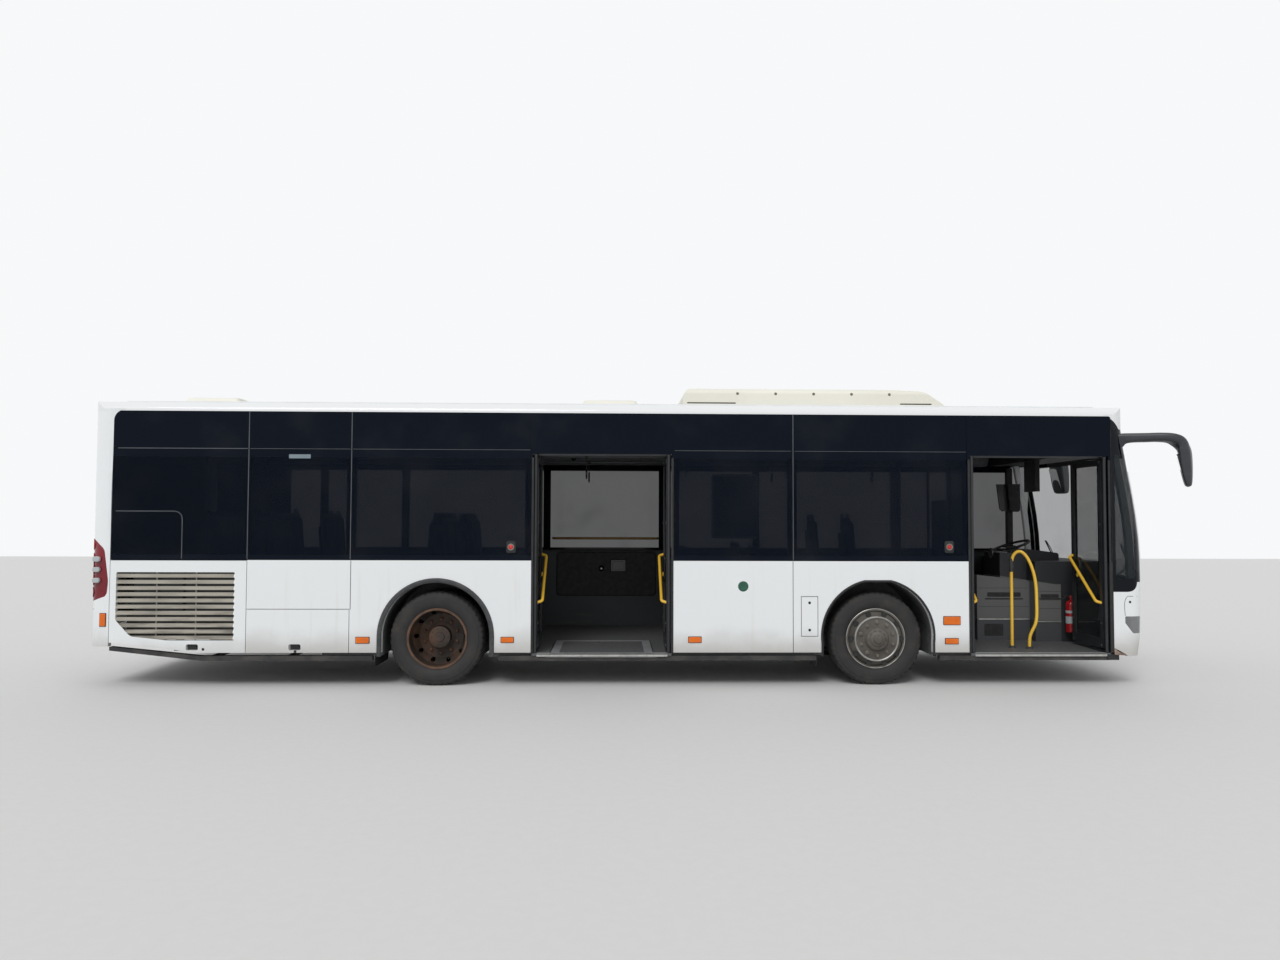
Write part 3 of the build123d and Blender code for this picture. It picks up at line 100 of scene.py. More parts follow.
class Finish:  # one material, its nodes and the surface that they feed
    def __init__(self, name):
        self.material = bpy.data.materials.new(name + "_look")
        self.material.use_nodes = True
        self.tree = self.material.node_tree
        self.tree.nodes.clear()
        self.place = self.node("TexCoord", {}, {}, "Object")

    # any node: its settings first, then the values or links of its sockets
    def node(self, kind, settings, values, output=0):
        made = self.tree.nodes.new("ShaderNode" + kind)
        for key, value in settings.items():
            setattr(made, key, value)
        for key, value in values.items():
            socket = made.inputs[key]
            if isinstance(value, Wire):
                self.tree.links.new(value.socket, socket)
            elif socket.type == "RGBA":
                socket.default_value = (*value[:3], 1)
            else:
                socket.default_value = value
        return Wire(self, made.outputs[output]) if made.outputs else None

    def sum(self, operation, first, second):
        return self.node("Math", {"operation": operation}, {0: first, 1: second})

    def axis(self, letter):
        return self.node("SeparateXYZ", {}, {0: self.place}, letter)

    def rise(self, value, low, high):  # 0 below low, 1 above high, smooth between
        return self.node("MapRange", {"interpolation_type": "SMOOTHSTEP"}, {0: value, 1: low, 2: high})

    def above(self, value, edge, soft=0.001):
        return self.rise(value, edge - soft, edge + soft)

    def band(self, value, low, high, soft=0.002):  # 1 between low and high, 0 outside
        return self.above(value, low, soft) * (1 - self.above(value, high, soft))

    def cloud(self, scale, detail=4, stretch=(1, 1, 1)):  # noise, stretched by a factor along each axis
        spot = self.node("Mapping", {}, {"Vector": self.place, "Scale": stretch})
        return self.node("TexNoise", {}, {"Vector": spot, "Scale": scale, "Detail": detail})

    def patches(self, scale, detail, low, high, stretch=(1, 1, 1)):
        return self.rise(self.cloud(scale, detail, stretch), low, high)

    def wave(self, way, scale, distortion):
        values = {"Vector": self.place, "Scale": scale, "Distortion": distortion}
        return self.node("TexWave", {"bands_direction": way}, values)

    def mix(self, factor, first, second):
        return self.node("Mix", {"data_type": "RGBA"}, {0: factor, 6: first, 7: second}, 2)

    # the surface; bump is a height, its strength and its depth
    def shade(self, colour, rough, bump=None, **more):
        values = {"Base Color": colour, "Roughness": rough, **more}
        if bump:
            values["Normal"] = self.node("Bump", {}, dict(zip(("Height", "Strength", "Distance"), bump)))
        surface = self.node("BsdfPrincipled", {}, values)
        self.node("OutputMaterial", {}, {"Surface": surface})
        return self.material


white, dustTone, blackTone = (0.76, 0.78, 0.79), (0.30, 0.27, 0.23), (0.0015, 0.003, 0.0065)


# Panel paint: an even colour, dust that thickens downwards, faint vertical runs of dirt
# where each run is noise squeezed along X and Y and stretched along Z, and a fine ripple.
def panelPaint(name, colour, sheen):
    look = {"dustTop": 0.62, "dustFoot": 0.30, "run": (0.62, 0.60, 0.55)}
    paint = Finish(name)
    height, speckle = paint.axis("Z"), paint.cloud(3.2, 8)
    foot = 1 - paint.rise(height + (speckle - 0.5) * 0.3, look["dustFoot"], look["dustTop"])
    runs = paint.patches(16, 3, 0.56, 0.78, (1, 1, 0.06)) * (1 - paint.rise(height, 1.0, 1.26))
    dusty = paint.mix(foot * (0.35 + 0.5 * speckle), paint.mix(runs * 0.22, colour, look["run"]), dustTone)
    coat = {"Coat Weight": 0.5 * (1 - foot), "Coat Roughness": 0.06}
    return paint.shade(dusty, sheen + foot * 0.4, (paint.cloud(0.9, 2), 0.25, 0.02), **coat)


# Plain hard finishes: two close tones mixed by cloudy noise, a grain in the bump.
def hardFinish(name, colour, other, rough, metallic=0.0, grain=60.0, depth=0.0006, shine=0.5):
    finish = Finish(name)
    fine = finish.cloud(grain, 3)
    tone = finish.mix(finish.patches(grain * 0.08, 5, 0.35, 0.7), colour, other)
    rest = {"Metallic": metallic, "Specular IOR Level": shine}
    return finish.shade(tone, rough + (fine - 0.5) * 0.16, (fine, 0.5, depth), **rest)


# Glass: a dark sheet, see-through where clear is 1, with a breath of cloudy dust.
def glazed(glass, colour, clear, through, dusty, rough=0.02, refraction=1.5, shine=0.5):
    film = glass.patches(2.2, 6, 0.45, 0.9)
    rest = {"Alpha": 1 - clear * (through - film * 0.05), "IOR": refraction, "Specular IOR Level": shine}
    return glass.shade(glass.mix(film * dusty, colour, (0.16, 0.16, 0.15)), rough + film * 0.05, **rest)


# Side glass: tinted and a third clear inside the windows, opaque black above the joint and below them.
def sideGlass(name, colour, through):
    look = {"joint": 2.262, "foot": 1.300, "soft": 0.004}
    glass = Finish(name)
    clear = glass.band(glass.axis("Z"), look["foot"], look["joint"], look["soft"])
    return glazed(glass, colour, clear, through, 0.05, 0.02, 1.45, 0.10)


# Windscreen: clear in the middle and in a quarter on each side, black round them, and white past its lower
# corners; a corner is what lies outside a circle, below and ahead of the circle's centre.
def screenGlass(name, colour, through):
    look = {"foot": 1.075, "top": 2.30, "side": 1.13, "quarter": (4.737, 4.935), "quarterTop": 2.33,
            "cornerX": 4.862, "cornerZ": 1.040, "cornerRadius": 0.096}
    glass = Finish(name)
    x, z, off = glass.axis("X"), glass.axis("Z"), abs(glass.axis("Y"))
    inward = 1 - glass.rise(off, look["side"], look["side"] + 0.008)
    middle = glass.band(z, look["foot"], look["top"], 0.008) * inward
    high = glass.band(z, look["foot"], look["quarterTop"], 0.004)
    clear = middle + glass.band(x, *look["quarter"]) * glass.rise(off, 1.185, 1.19) * high * 0.62
    dx, dz = x - look["cornerX"], z - look["cornerZ"]
    outside = (dx * dx + dz * dz) > look["cornerRadius"] ** 2
    corner = (dx > 0) * (dz < 0) * outside * glass.rise(off, 1.20, 1.201)
    border = glass.mix(corner, glass.mix(clear, blackTone, colour), white)
    return glazed(glass, border, clear, through, 0.04, shine=0.2)


# A clear lens: about half see-through, with fine upright flutes.
def lensFinish(name, colour, through):
    lens = Finish(name)
    tone = lens.mix(lens.cloud(5, 4), colour, tuple(c * 0.8 for c in colour))
    return lens.shade(tone, 0.06, (lens.wave("Y", 18, 0), 0.3, 0.001), Alpha=1 - through, IOR=1.5)


# Roof: white weathered paint, grey film in the middle, and a black front corner that carries on the side band
# below a parabola that falls forwards.
def roofPaint(name, colour):
    look = {"black": (0.004, 0.0045, 0.006), "film": (0.55, 0.56, 0.55), "start": 4.63, "top": 2.715}
    paint = Finish(name)
    x = paint.axis("X")
    film = paint.patches(1.6, 8, 0.42, 0.75) * (1 - paint.rise(abs(paint.axis("Y")), 1.02, 1.2))
    run = x - look["start"]
    corner = paint.rise(x, look["start"] - 0.4, look["start"] - 0.395)
    corner = corner * (1 - paint.above(paint.axis("Z") + run * run * 4.6, look["top"], 0.002))
    tone = paint.mix(corner, paint.mix(film * 0.5, colour, look["film"]), look["black"])
    coat = {"Coat Weight": 0.3 * (1 - film) * (1 - corner), "Specular IOR Level": 0.25}
    return paint.shade(tone, 0.32 + film * 0.25 - corner * 0.2, (paint.cloud(1.2, 2), 0.2, 0.02), **coat)


# Radiator flap: a white frame, and dusty beige slats with patches of dark soot that thicken downwards.
def louvrePaint(name):
    look = {"slat": (0.34, 0.315, 0.265), "soot": (0.05, 0.043, 0.036), "face": -1.273,
            "rear": -5.195, "front": -4.058, "low": 0.460, "high": 1.122}
    paint = Finish(name)
    z = paint.axis("Z")
    slat = paint.band(paint.axis("X"), look["rear"], look["front"], 0.001)
    slat = slat * paint.band(z, look["low"], look["high"], 0.001)
    slat = slat * paint.above(paint.axis("Y"), look["face"], 0.0005)
    low = 1 - paint.rise(z, 0.55, 0.95)
    grime = paint.patches(7, 8, 0.38, 0.72, (0.4, 1, 2.2))
    tone = paint.mix(grime * (0.35 + 0.35 * low), look["slat"], look["soot"])
    foot = 1 - paint.rise(z + (paint.cloud(3.2, 8) - 0.5) * 0.2, 0.32, 0.52)
    tone = paint.mix(slat, paint.mix(foot * 0.35, white, dustTone), tone)
    return paint.shade(tone, 0.3 + slat * 0.35, (paint.cloud(40, 4), 0.25, 0.001))


# Wall lining: dark blue-grey moulding with faint scuffs low down.
def liningFinish(name):
    look = {"tone": (0.018, 0.022, 0.026), "other": (0.026, 0.030, 0.034), "scuff": (0.060, 0.060, 0.058)}
    wall = Finish(name)
    scuff = wall.patches(9, 8, 0.55, 0.8, (0.25, 1, 1.4)) * (1 - wall.rise(wall.axis("Z"), 0.35, 0.75))
    tone = wall.mix(scuff * 0.5, wall.mix(wall.cloud(3, 4), look["tone"], look["other"]), look["scuff"])
    grain = wall.cloud(420, 3)
    return wall.shade(tone, 0.5 + (grain - 0.5) * 0.2, (grain, 0.4, 0.0005))


# Seat cloth: crossing threads, and a paler fleck here and there.
def clothFinish(name):
    look = {"deep": (0.014, 0.022, 0.050), "thread": (0.030, 0.046, 0.095), "fleck": (0.085, 0.105, 0.150),
            "threads": 330}
    cloth = Finish(name)
    weave = sum(cloth.wave(way, look["threads"], 0.6) for way in "XYZ") / 3
    tone = cloth.mix(cloth.cloud(420, 2), look["deep"], look["thread"])
    tone = cloth.mix(cloth.patches(75, 2, 0.60, 0.66) * 0.6, tone, look["fleck"])
    return cloth.shade(tone, 0.92, (weave, 0.5, 0.0008), **{"Sheen Weight": 0.25})


# Mirror shell: dark plastic, a paler cover on the front of the drop.
def mirrorShell(name):
    look = {"dark": (0.022, 0.025, 0.030), "worn": (0.034, 0.037, 0.042), "cover": (0.105, 0.112, 0.120),
            "edge": 5.428, "top": 2.425}
    shell = Finish(name)
    z = shell.axis("Z")
    cover = shell.above(shell.axis("X") + (z - 2.2) * 0.09, look["edge"])
    cover = cover * (1 - shell.above(z, look["top"], 0.002))
    tone = shell.mix(cover, shell.mix(shell.patches(5, 6, 0.4, 0.75), look["dark"], look["worn"]),
                     look["cover"])
    grain = shell.cloud(420, 3)
    return shell.shade(tone, 0.42 - cover * 0.12 + (grain - 0.5) * 0.1, (grain, 0.4, 0.0004))


# Cab moulding: mid grey cabinet, darker kick panel, black dashboard, all with a fine grain.
def cabMoulding(name):
    look = {"cabinet": (0.105, 0.108, 0.105), "kick": (0.050, 0.052, 0.056), "dash": (0.016, 0.017, 0.020),
            "strip": 0.560, "lid": 0.957, "ahead": 4.5950}
    mould = Finish(name)
    x, z = mould.axis("X"), mould.axis("Z")
    ahead = mould.rise(x, look["ahead"] - 0.0005, look["ahead"])
    dash = ahead + (1 - ahead) * mould.above(z, look["lid"]) * mould.rise(z - (4.31 - x) * 0.15, 0.99, 0.992)
    tone = mould.mix(1 - mould.above(z, look["strip"]), look["cabinet"], look["kick"])
    grain = mould.cloud(420, 3)
    return mould.shade(mould.mix(dash > 0.5, tone, look["dash"]), 0.5 + (grain - 0.5) * 0.2,
                       (grain, 0.5, 0.0006))


# Tyre rubber: two dark tones mixed by cloudy noise, under patches of brown dust.
def tyreRubber(name):
    look = {"deep": (0.010, 0.010, 0.011), "worn": (0.024, 0.023, 0.023), "dust": (0.09, 0.075, 0.06)}
    rubber = Finish(name)
    dust = rubber.patches(6, 8, 0.45, 0.8)
    tone = rubber.mix(dust * 0.35, rubber.mix(rubber.cloud(9, 5), look["deep"], look["worn"]), look["dust"])
    return rubber.shade(tone, 0.72 + dust * 0.15, (rubber.cloud(220, 3), 0.4, 0.0007))


doorLeaves = ("front_door_rear", "front_door_front", "middle_door_rear", "middle_door_front")


# Door leaves: dark frames, and yellow where the slanted handrail stands off the frame.
def leafFinish(name):
    look = {"frame": (0.013, 0.015, 0.018), "worn": (0.024, 0.027, 0.030), "yellow": (0.78, 0.46, 0.04),
            "far": 0.0225, "reach": 0.11}
    leaf = Finish(name)
    x = leaf.axis("X")
    rail = 0
    for door in doorLeaves:
        middle = middleX(door + "_glass")
        out = (x - middle) if door.endswith("rear") else (middle - x)
        rail = rail + leaf.band(out, look["far"], look["reach"], 0.0005)
    worn = leaf.patches(7, 6, 0.45, 0.75)
    tone = leaf.mix(rail, leaf.mix(worn * 0.6, look["frame"], look["worn"]), look["yellow"])
    return leaf.shade(tone, 0.34 + worn * 0.1, (leaf.cloud(90, 3), 0.3, 0.0004))


# Plain finishes of the CAD nodes, by slot: two tones, roughness, metallic, grain, depth, shine.
slotTones = {
    "chassis_grey": ((0.020, 0.020, 0.022), (0.06, 0.055, 0.05), 0.72),
    "floor_grey": ((0.075, 0.077, 0.08), (0.10, 0.10, 0.10), 0.6, 0, 260),
    "band_black": ((0.0015, 0.003, 0.006), (0.002, 0.004, 0.008), 0.10, 0, 3, 0.0001, 0.14),
    "pod_ivory": ((0.80, 0.78, 0.69), (0.74, 0.72, 0.63), 0.5, 0, 14),
    "engine_grey": ((0.05, 0.05, 0.05), (0.09, 0.085, 0.08), 0.5, 0.4),
    "seat_fabric": ((0.03, 0.05, 0.12), (0.05, 0.08, 0.17), 0.9, 0, 500),
    "seat_frame_grey": ((0.035, 0.040, 0.050), (0.05, 0.055, 0.065), 0.42, 0, 240),
    "wheel_black": ((0.015, 0.015, 0.016), (0.02, 0.02, 0.02), 0.5, 0, 400),
    "rail_yellow": ((0.78, 0.46, 0.04), (0.70, 0.40, 0.03), 0.3, 0, 20),
    "mirror_grey": ((0.030, 0.034, 0.040), (0.045, 0.048, 0.053), 0.45, 0, 420),
    "lamp_body": ((0.30, 0.31, 0.33), (0.20, 0.21, 0.22), 0.16, 0.7, 30),
    "lamp_red": ((0.20, 0.006, 0.014), (0.13, 0.004, 0.009), 0.12, 0, 30),
    "display_black": ((0.006, 0.006, 0.007), (0.010, 0.010, 0.011), 0.5, 0, 300),
    "duct_grey": ((0.085, 0.088, 0.095), (0.105, 0.108, 0.115), 0.6, 0, 240),
    "extinguisher_red": ((0.36, 0.008, 0.010), (0.29, 0.006, 0.008), 0.22, 0, 18),
    "ramp_grey": ((0.06, 0.06, 0.062), (0.09, 0.09, 0.088), 0.55, 0.3, 300),
    "front_rim_grey": ((0.115, 0.105, 0.092), (0.065, 0.058, 0.05), 0.62, 0.2),
    "rear_rim_rust": ((0.035, 0.028, 0.024), (0.10, 0.055, 0.034), 0.6, 0.3),
}
# Finishes of the small pieces: the slot that they go by, then the same columns.
trimTones = {
    "rubber": ("mirror_grey", (0.010, 0.010, 0.011), (0.018, 0.018, 0.018), 0.7, 0, 300),
    "archGrey": ("mirror_grey", (0.030, 0.032, 0.036), (0.055, 0.055, 0.055), 0.55, 0, 200),
    "blackGloss": ("mirror_grey", (0.008, 0.008, 0.009), (0.012, 0.012, 0.012), 0.2, 0, 120),
    "seamGrey": ("mirror_grey", (0.055, 0.062, 0.070), (0.075, 0.080, 0.086), 0.5, 0, 120),
    "brightSteel": ("ramp_grey", (0.40, 0.39, 0.37), (0.28, 0.27, 0.25), 0.34, 0.85, 200),
    "dustySteel": ("ramp_grey", (0.20, 0.18, 0.155), (0.11, 0.10, 0.085), 0.6, 0.4, 200),
    "rustySteel": ("rear_rim_rust", (0.14, 0.075, 0.045), (0.07, 0.045, 0.032), 0.65, 0.4, 160),
    "aluminium": ("ramp_grey", (0.52, 0.52, 0.50), (0.40, 0.40, 0.38), 0.38, 0.8, 260),
    "amber": ("lamp_red", (0.78, 0.17, 0.008), (0.66, 0.13, 0.006), 0.15),
    "red": ("lamp_red", (0.55, 0.03, 0.02), (0.45, 0.02, 0.015), 0.25),
    "discGreen": ("mirror_grey", (0.010, 0.075, 0.045), (0.014, 0.090, 0.055), 0.3),
    "white": ("body_white", white, (0.70, 0.72, 0.73), 0.35, 0, 40),
    "pale": ("body_white", (0.42, 0.45, 0.46), (0.36, 0.38, 0.39), 0.5),
    "dimPale": ("mirror_grey", (0.19, 0.24, 0.27), (0.16, 0.20, 0.23), 0.4),
    "mirrorGlass": ("lamp_glass", (0.75, 0.77, 0.78), (0.72, 0.74, 0.75), 0.04, 1, 3, 0),
    "strap": ("mirror_grey", (0.02, 0.02, 0.022), (0.035, 0.035, 0.036), 0.7, 0, 300),
    "lightPanel": ("lamp_glass", (0.72, 0.73, 0.72), (0.66, 0.67, 0.66), 0.35),
    "handYellow": ("rail_yellow", (0.80, 0.50, 0.05), (0.72, 0.43, 0.04), 0.3, 0, 30),
    "dullYellow": ("rail_yellow", (0.30, 0.165, 0.015), (0.24, 0.13, 0.012), 0.4, 0, 30),
    "railGrey": ("mirror_grey", (0.040, 0.044, 0.050), (0.055, 0.060, 0.066), 0.34, 0, 90),
    "rampFrame": ("ramp_grey", (0.30, 0.305, 0.31), (0.22, 0.224, 0.23), 0.5, 0.2, 240),
    "screenGrey": ("lamp_glass", (0.085, 0.090, 0.085), (0.070, 0.074, 0.070), 0.12, 0, 20, 0.0001),
    "seamCloth": ("seat_fabric", (0.012, 0.014, 0.020), (0.020, 0.022, 0.028), 0.85, 0, 600),
    "scrape": ("flap_beige", (0.40, 0.31, 0.25), (0.13, 0.08, 0.055), 0.8, 0, 240),
}
# Every look: its material and its slot.
looks = {
    "body_white": panelPaint("body_white", white, 0.28),
    "side_glass": sideGlass("side_glass", (0.0015, 0.004, 0.010), 0.32),
    "roof_white": roofPaint("roof_white", (0.74, 0.75, 0.76)),
    "screen_glass": screenGlass("screen_glass", (0.010, 0.016, 0.018), 0.62),
    "cab_grey": cabMoulding("cab_grey"),
    "lamp_glass": lensFinish("lamp_glass", (0.30, 0.31, 0.32), 0.45),
    "flap_beige": louvrePaint("flap_beige"),
    "tyre": tyreRubber("tyre"),
    "door_dark": leafFinish("door_dark"),
    "door_glass": glazed(Finish("door_glass"), (0.008, 0.011, 0.013), 1, 0.60, 0.25, 0.015),
}
looks.update({slot: hardFinish(slot, *row) for slot, row in slotTones.items()})
looks = {slot: (material, slot) for slot, material in looks.items()}
looks.update({name: (hardFinish(name, *row[1:]), row[0]) for name, row in trimTones.items()})
looks["lining"] = liningFinish("lining"), "seat_frame_grey"
looks["mirrorShell"] = mirrorShell("mirrorShell"), "mirror_grey"
looks["seatCloth"] = clothFinish("seatCloth"), "seat_fabric"


def dressNodes():
    for name, node in nodes.items():
        for place in node.material_slots:
            slot = place.material.name.split(".")[0] if place.material else ""
            if slot in looks:
                place.material = looks[slot][0]
            else:
                print("no finish for", name, slot)


dressNodes()
print("finishes given")

# The camera stands where the photographer did, found from the bus's own straight lines.
camera = {"along": 5.184, "out": -10.860, "height": 1.668, "yaw": 1.53, "pitch": 2.28, "roll": 0.18,
          "lens": 27.04}


def placeCamera():
    yaw, pitch, roll = (math.radians(camera[k]) for k in ("yaw", "pitch", "roll"))
    ahead = Vector((math.sin(yaw) * math.cos(pitch), math.cos(yaw) * math.cos(pitch), math.sin(pitch)))
    level = Vector((math.cos(yaw), -math.sin(yaw), 0))
    upright = level.cross(ahead)
    right = math.cos(roll) * level + math.sin(roll) * upright
    above = math.cos(roll) * upright - math.sin(roll) * level
    data = bpy.data.cameras.new("photoCamera")
    data.lens, data.sensor_width, data.clip_end = camera["lens"], 36, 200
    eye = intoScene("photoCamera", data)
    place = Matrix.Translation((rearEnd + camera["along"], camera["out"], camera["height"]))
    eye.matrix_world = place @ Matrix((right, above, -ahead)).transposed().to_4x4()
    bpy.context.scene.camera = eye


placeCamera()

studio = {"sky": 0.75, "backdrop": (0.93, 0.94, 0.95), "floor": (0.62, 0.62, 0.61), "floorSize": 60,
          "sun": 1.4, "sunSpread": 25, "sunFrom": (-0.25, -0.75, 0.75)}


# A pale backdrop that is full bright to the camera, in glass and in reflections, a soft sun and a floor sheet.
def lightStudio():
    world = bpy.data.worlds.new("studio")
    bpy.context.scene.world = world
    world.use_nodes = True
    make, join = world.node_tree.nodes.new, world.node_tree.links.new
    ground = world.node_tree.nodes["Background"]
    ground.inputs["Color"].default_value = (*studio["backdrop"], 1)
    path, seen = make("ShaderNodeLightPath"), make("ShaderNodeMapRange")
    seen.inputs["To Min"].default_value = studio["sky"]
    seen.inputs["To Max"].default_value = 1.0
    view = path.outputs["Is Camera Ray"]
    for ray in ("Is Glossy Ray", "Is Transmission Ray"):
        larger = make("ShaderNodeMath")
        larger.operation = "MAXIMUM"
        join(view, larger.inputs[0])
        join(path.outputs[ray], larger.inputs[1])
        view = larger.outputs[0]
    join(view, seen.inputs[0])
    join(seen.outputs[0], ground.inputs["Strength"])
    data = bpy.data.lights.new("softSun", "SUN")
    data.energy, data.angle = studio["sun"], math.radians(studio["sunSpread"])
    intoScene("softSun", data).rotation_euler = Vector(studio["sunFrom"]).to_track_quat("Z", "Y").to_euler()
    half = studio["floorSize"] / 2
    mesh = bpy.data.meshes.new("floor_sheet")
    mesh.from_pydata([(-half, -half, 0), (half, -half, 0), (half, half, 0), (-half, half, 0)], [],
                     [(0, 1, 2, 3)])
    pale = Finish("paleFloor")
    colour = pale.mix(pale.cloud(14, 4), studio["floor"], tuple(c * 1.06 for c in studio["floor"]))
    mesh.materials.append(pale.shade(colour, 0.8))
    intoScene("floor_sheet", mesh)


lightStudio()
bpy.context.scene.view_settings.view_transform = "Standard"
print("camera and light set")

# Points and directions of the whole bus that the pieces below are placed by, in metres.
half, floorTop = 1.275, 0.33
rearAxle, frontAxle = middleX("rear_right_tyres"), middleX("front_right_tyre")
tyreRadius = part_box("front_right_tyre")[1].z / 2
sides = (("right", -1), ("left", 1))
ahead, leftward, up = (1, 0, 0), (0, 1, 0), (0, 0, 1)
astern, rightward, down = (-1, 0, 0), (0, -1, 0), (0, 0, -1)


# A flat plane: where its zero lies, its two directions, and the way out of it.
def facing(zero, out):
    return zero, leftward if out[0] else ahead, leftward if out[2] else up, out


planes = {"right": facing((0, -half, 0), rightward), "left": facing((0, half, 0), leftward),
          "top": facing((0, 0, 0), up)}


def along(station):  # stations were read from the tail forwards
    return rearEnd + 0.027 + station


def unit(vectors):
    return vectors / np.maximum(np.linalg.norm(vectors, axis=-1, keepdims=True), 1e-12)


def circleTurns(count):
    return np.arange(count) * 2 * math.pi / count


# Four-cornered faces between neighbouring rows and columns of a grid of points.
def gridFaces(rows, columns, loop=False):
    index = np.arange(rows * columns).reshape(rows, columns)
    ends = [] if loop else [index[:1].copy(), index[-1:].copy()]
    if loop:
        index = np.vstack((index, index[:1]))
    index = np.hstack((index, index[:, :1]))
    quads = np.stack((index[:-1, :-1], index[:-1, 1:], index[1:, 1:], index[1:, :-1]), -1)
    return [quads.reshape(-1, 4)] + ends


# An outline carried along a path: point = path + side * outline x + above * outline y.
def swept(path, outline, top=up, loop=False):
    path, outline = np.asarray(path, float), np.asarray(outline, float)
    after, before = np.roll(path, -1, 0), np.roll(path, 1, 0)
    if not loop:
        after[-1], before[0] = path[-1], path[0]
    run = unit(after - before)
    side = unit(np.cross(run, top))
    above = np.cross(side, run)
    points = path[:, None] + side[:, None] * outline[None, :, :1] + above[:, None] * outline[None, :, 1:]
    return points.reshape(-1, 3), gridFaces(len(path), len(outline), loop)


# A path with its inner corners rounded: each is a parabola between two points at a distance from it.
def bent(corners, reach, steps=6):
    corners = np.asarray(corners, float)
    t = np.linspace(0, 1, steps)[:, None]
    rows = [corners[:1]]
    for before, corner, after in zip(corners[:-2], corners[1:-1], corners[2:]):
        first, last = (corner + unit(end - corner) * min(reach, np.linalg.norm(end - corner) / 2)
                       for end in (before, after))
        rows.append((1 - t) ** 2 * first + 2 * t * (1 - t) * corner + t ** 2 * last)
    return np.concatenate(rows + [corners[-1:]])


# Points joined by a smooth line: each span is a cubic whose end slopes come from the points on either side.
def smoothRows(rows, steps):
    rows = np.asarray(rows, float)
    before = np.vstack((2 * rows[:1] - rows[1:2], rows[:-1]))
    after = np.vstack((rows[1:], 2 * rows[-1:] - rows[-2:-1]))
    slope = (after - before) / 2
    t = np.linspace(0, 1, steps, endpoint=False)[None, :, None]
    line = (2 * t ** 3 - 3 * t ** 2 + 1) * rows[:-1, None] + (t ** 3 - 2 * t ** 2 + t) * slope[:-1, None]
    line = line + (3 * t ** 2 - 2 * t ** 3) * rows[1:, None] + (t ** 3 - t ** 2) * slope[1:, None]
    return np.vstack((line.reshape(-1, rows.shape[1]), rows[-1:]))


def ringOutline(radius, count=12):
    turn = circleTurns(count)
    return np.stack((radius * np.cos(turn), radius * np.sin(turn)), -1)


# Rectangle with round corners, given by its middle, size and corner radius.
def softRectangle(x, y, width, height, radius, steps=5):
    turn = np.linspace(0, math.pi / 2, steps)
    quarter = np.stack((np.cos(turn), np.sin(turn)), -1) * radius
    rows = []
    for k, (sx, sy) in enumerate(((1, 1), (-1, 1), (-1, -1), (1, -1))):
        c, s = math.cos(k * math.pi / 2), math.sin(k * math.pi / 2)
        corner = (x + sx * (width / 2 - radius), y + sy * (height / 2 - radius))
        rows.append(quarter @ np.array(((c, s), (-s, c))) + corner)
    return np.concatenate(rows)


def softBar(width, height, radius):  # the section of a bar with small round corners
    return softRectangle(0, 0, width, height, radius, 3)


def bead(foot, low, top, high):  # the section of a bead: half widths at its foot and its top
    return [(-foot, low), (foot, low), (top, high), (-top, high)]


def collar(inner, outer, low, high):  # the profile of a plain collar or, with an inner radius of 0, of a rod
    return [(inner, low), (outer, low), (outer, high), (inner, high)]


# An outline shrunk by an amount along the mean normal of its neighbours.
def shrunk(outline, amount):
    run = unit(np.roll(outline, -1, 0) - np.roll(outline, 1, 0))
    return outline - amount * np.stack((run[:, 1], -run[:, 0]), -1)


# A flat outline given thickness outwards from a plane, with both rims chamfered.
def plate(plane, outline, low, high, bevel=0.002):
    plane = planes[plane] if isinstance(plane, str) else plane
    zero, first, second, out = (np.array(v, float) for v in plane)
    outline = np.asarray(outline, float)
    points = []
    for inset, deep in ((bevel, low), (0, low + bevel), (0, high - bevel), (bevel, high)):
        rim = shrunk(outline, inset)
        points.append(zero + rim[:, :1] * first + rim[:, 1:] * second + deep * out)
    return np.concatenate(points), gridFaces(4, len(outline))


def slab(plane, x, y, width, height, radius, low, high, bevel, steps=5):
    return plate(plane, softRectangle(x, y, width, height, radius, steps), low, high, bevel)


def bar(plane, x, y, width, height, low, high, radius=0.003, bevel=0.0015):
    radius = min(radius, width * 0.49, height * 0.49)
    return slab(plane, x, y, width, height, radius, low, high, min(bevel, (high - low) / 3, radius), 4)


# A profile of radius and height turned about an axis.
def turned(profile, centre, axis, count=24):
    axis = unit(np.array(axis, float))
    first = unit(np.cross(axis, (0.3, 0.1, 1) if abs(axis[2]) < 0.9 else (1, 0, 0.1)))
    second = np.cross(axis, first)
    turn = circleTurns(count)[:, None]
    circle = np.cos(turn) * first + np.sin(turn) * second
    profile = np.asarray(profile, float)[:, :, None, None]
    points = np.array(centre, float) + profile[:, 1] * axis + profile[:, 0] * circle[None]
    return points.reshape(-1, 3), gridFaces(len(profile), count, profile[0, 0, 0, 0] > 0)


# Copies of a part, whose points are given for each copy.
def copies(rows, part):
    shift = (np.arange(len(rows)) * len(part[0]))[:, None, None]
    return rows.reshape(-1, 3), [(block[None] + shift).reshape(-1, block.shape[1]) for block in part[1]]


def repeated(part, offsets):
    return copies(part[0][None] + np.asarray(offsets, float)[:, None], part)


# The same part turned about an axis along Y through a centre.
def wheeled(part, centre, angles):
    local = (part[0] - np.array(centre))[None]
    c, s = np.cos(angles)[:, None], np.sin(angles)[:, None]
    x = c * local[..., 0] + s * local[..., 2]
    z = -s * local[..., 0] + c * local[..., 2]
    y = np.broadcast_to(local[..., 1], x.shape)
    return copies(np.stack((x, y, z), -1) + np.array(centre), part)


def bothSides(parts):  # with each part again on the other side of the bus
    return parts + [(points * (1, -1, 1), blocks) for points, blocks in parts]


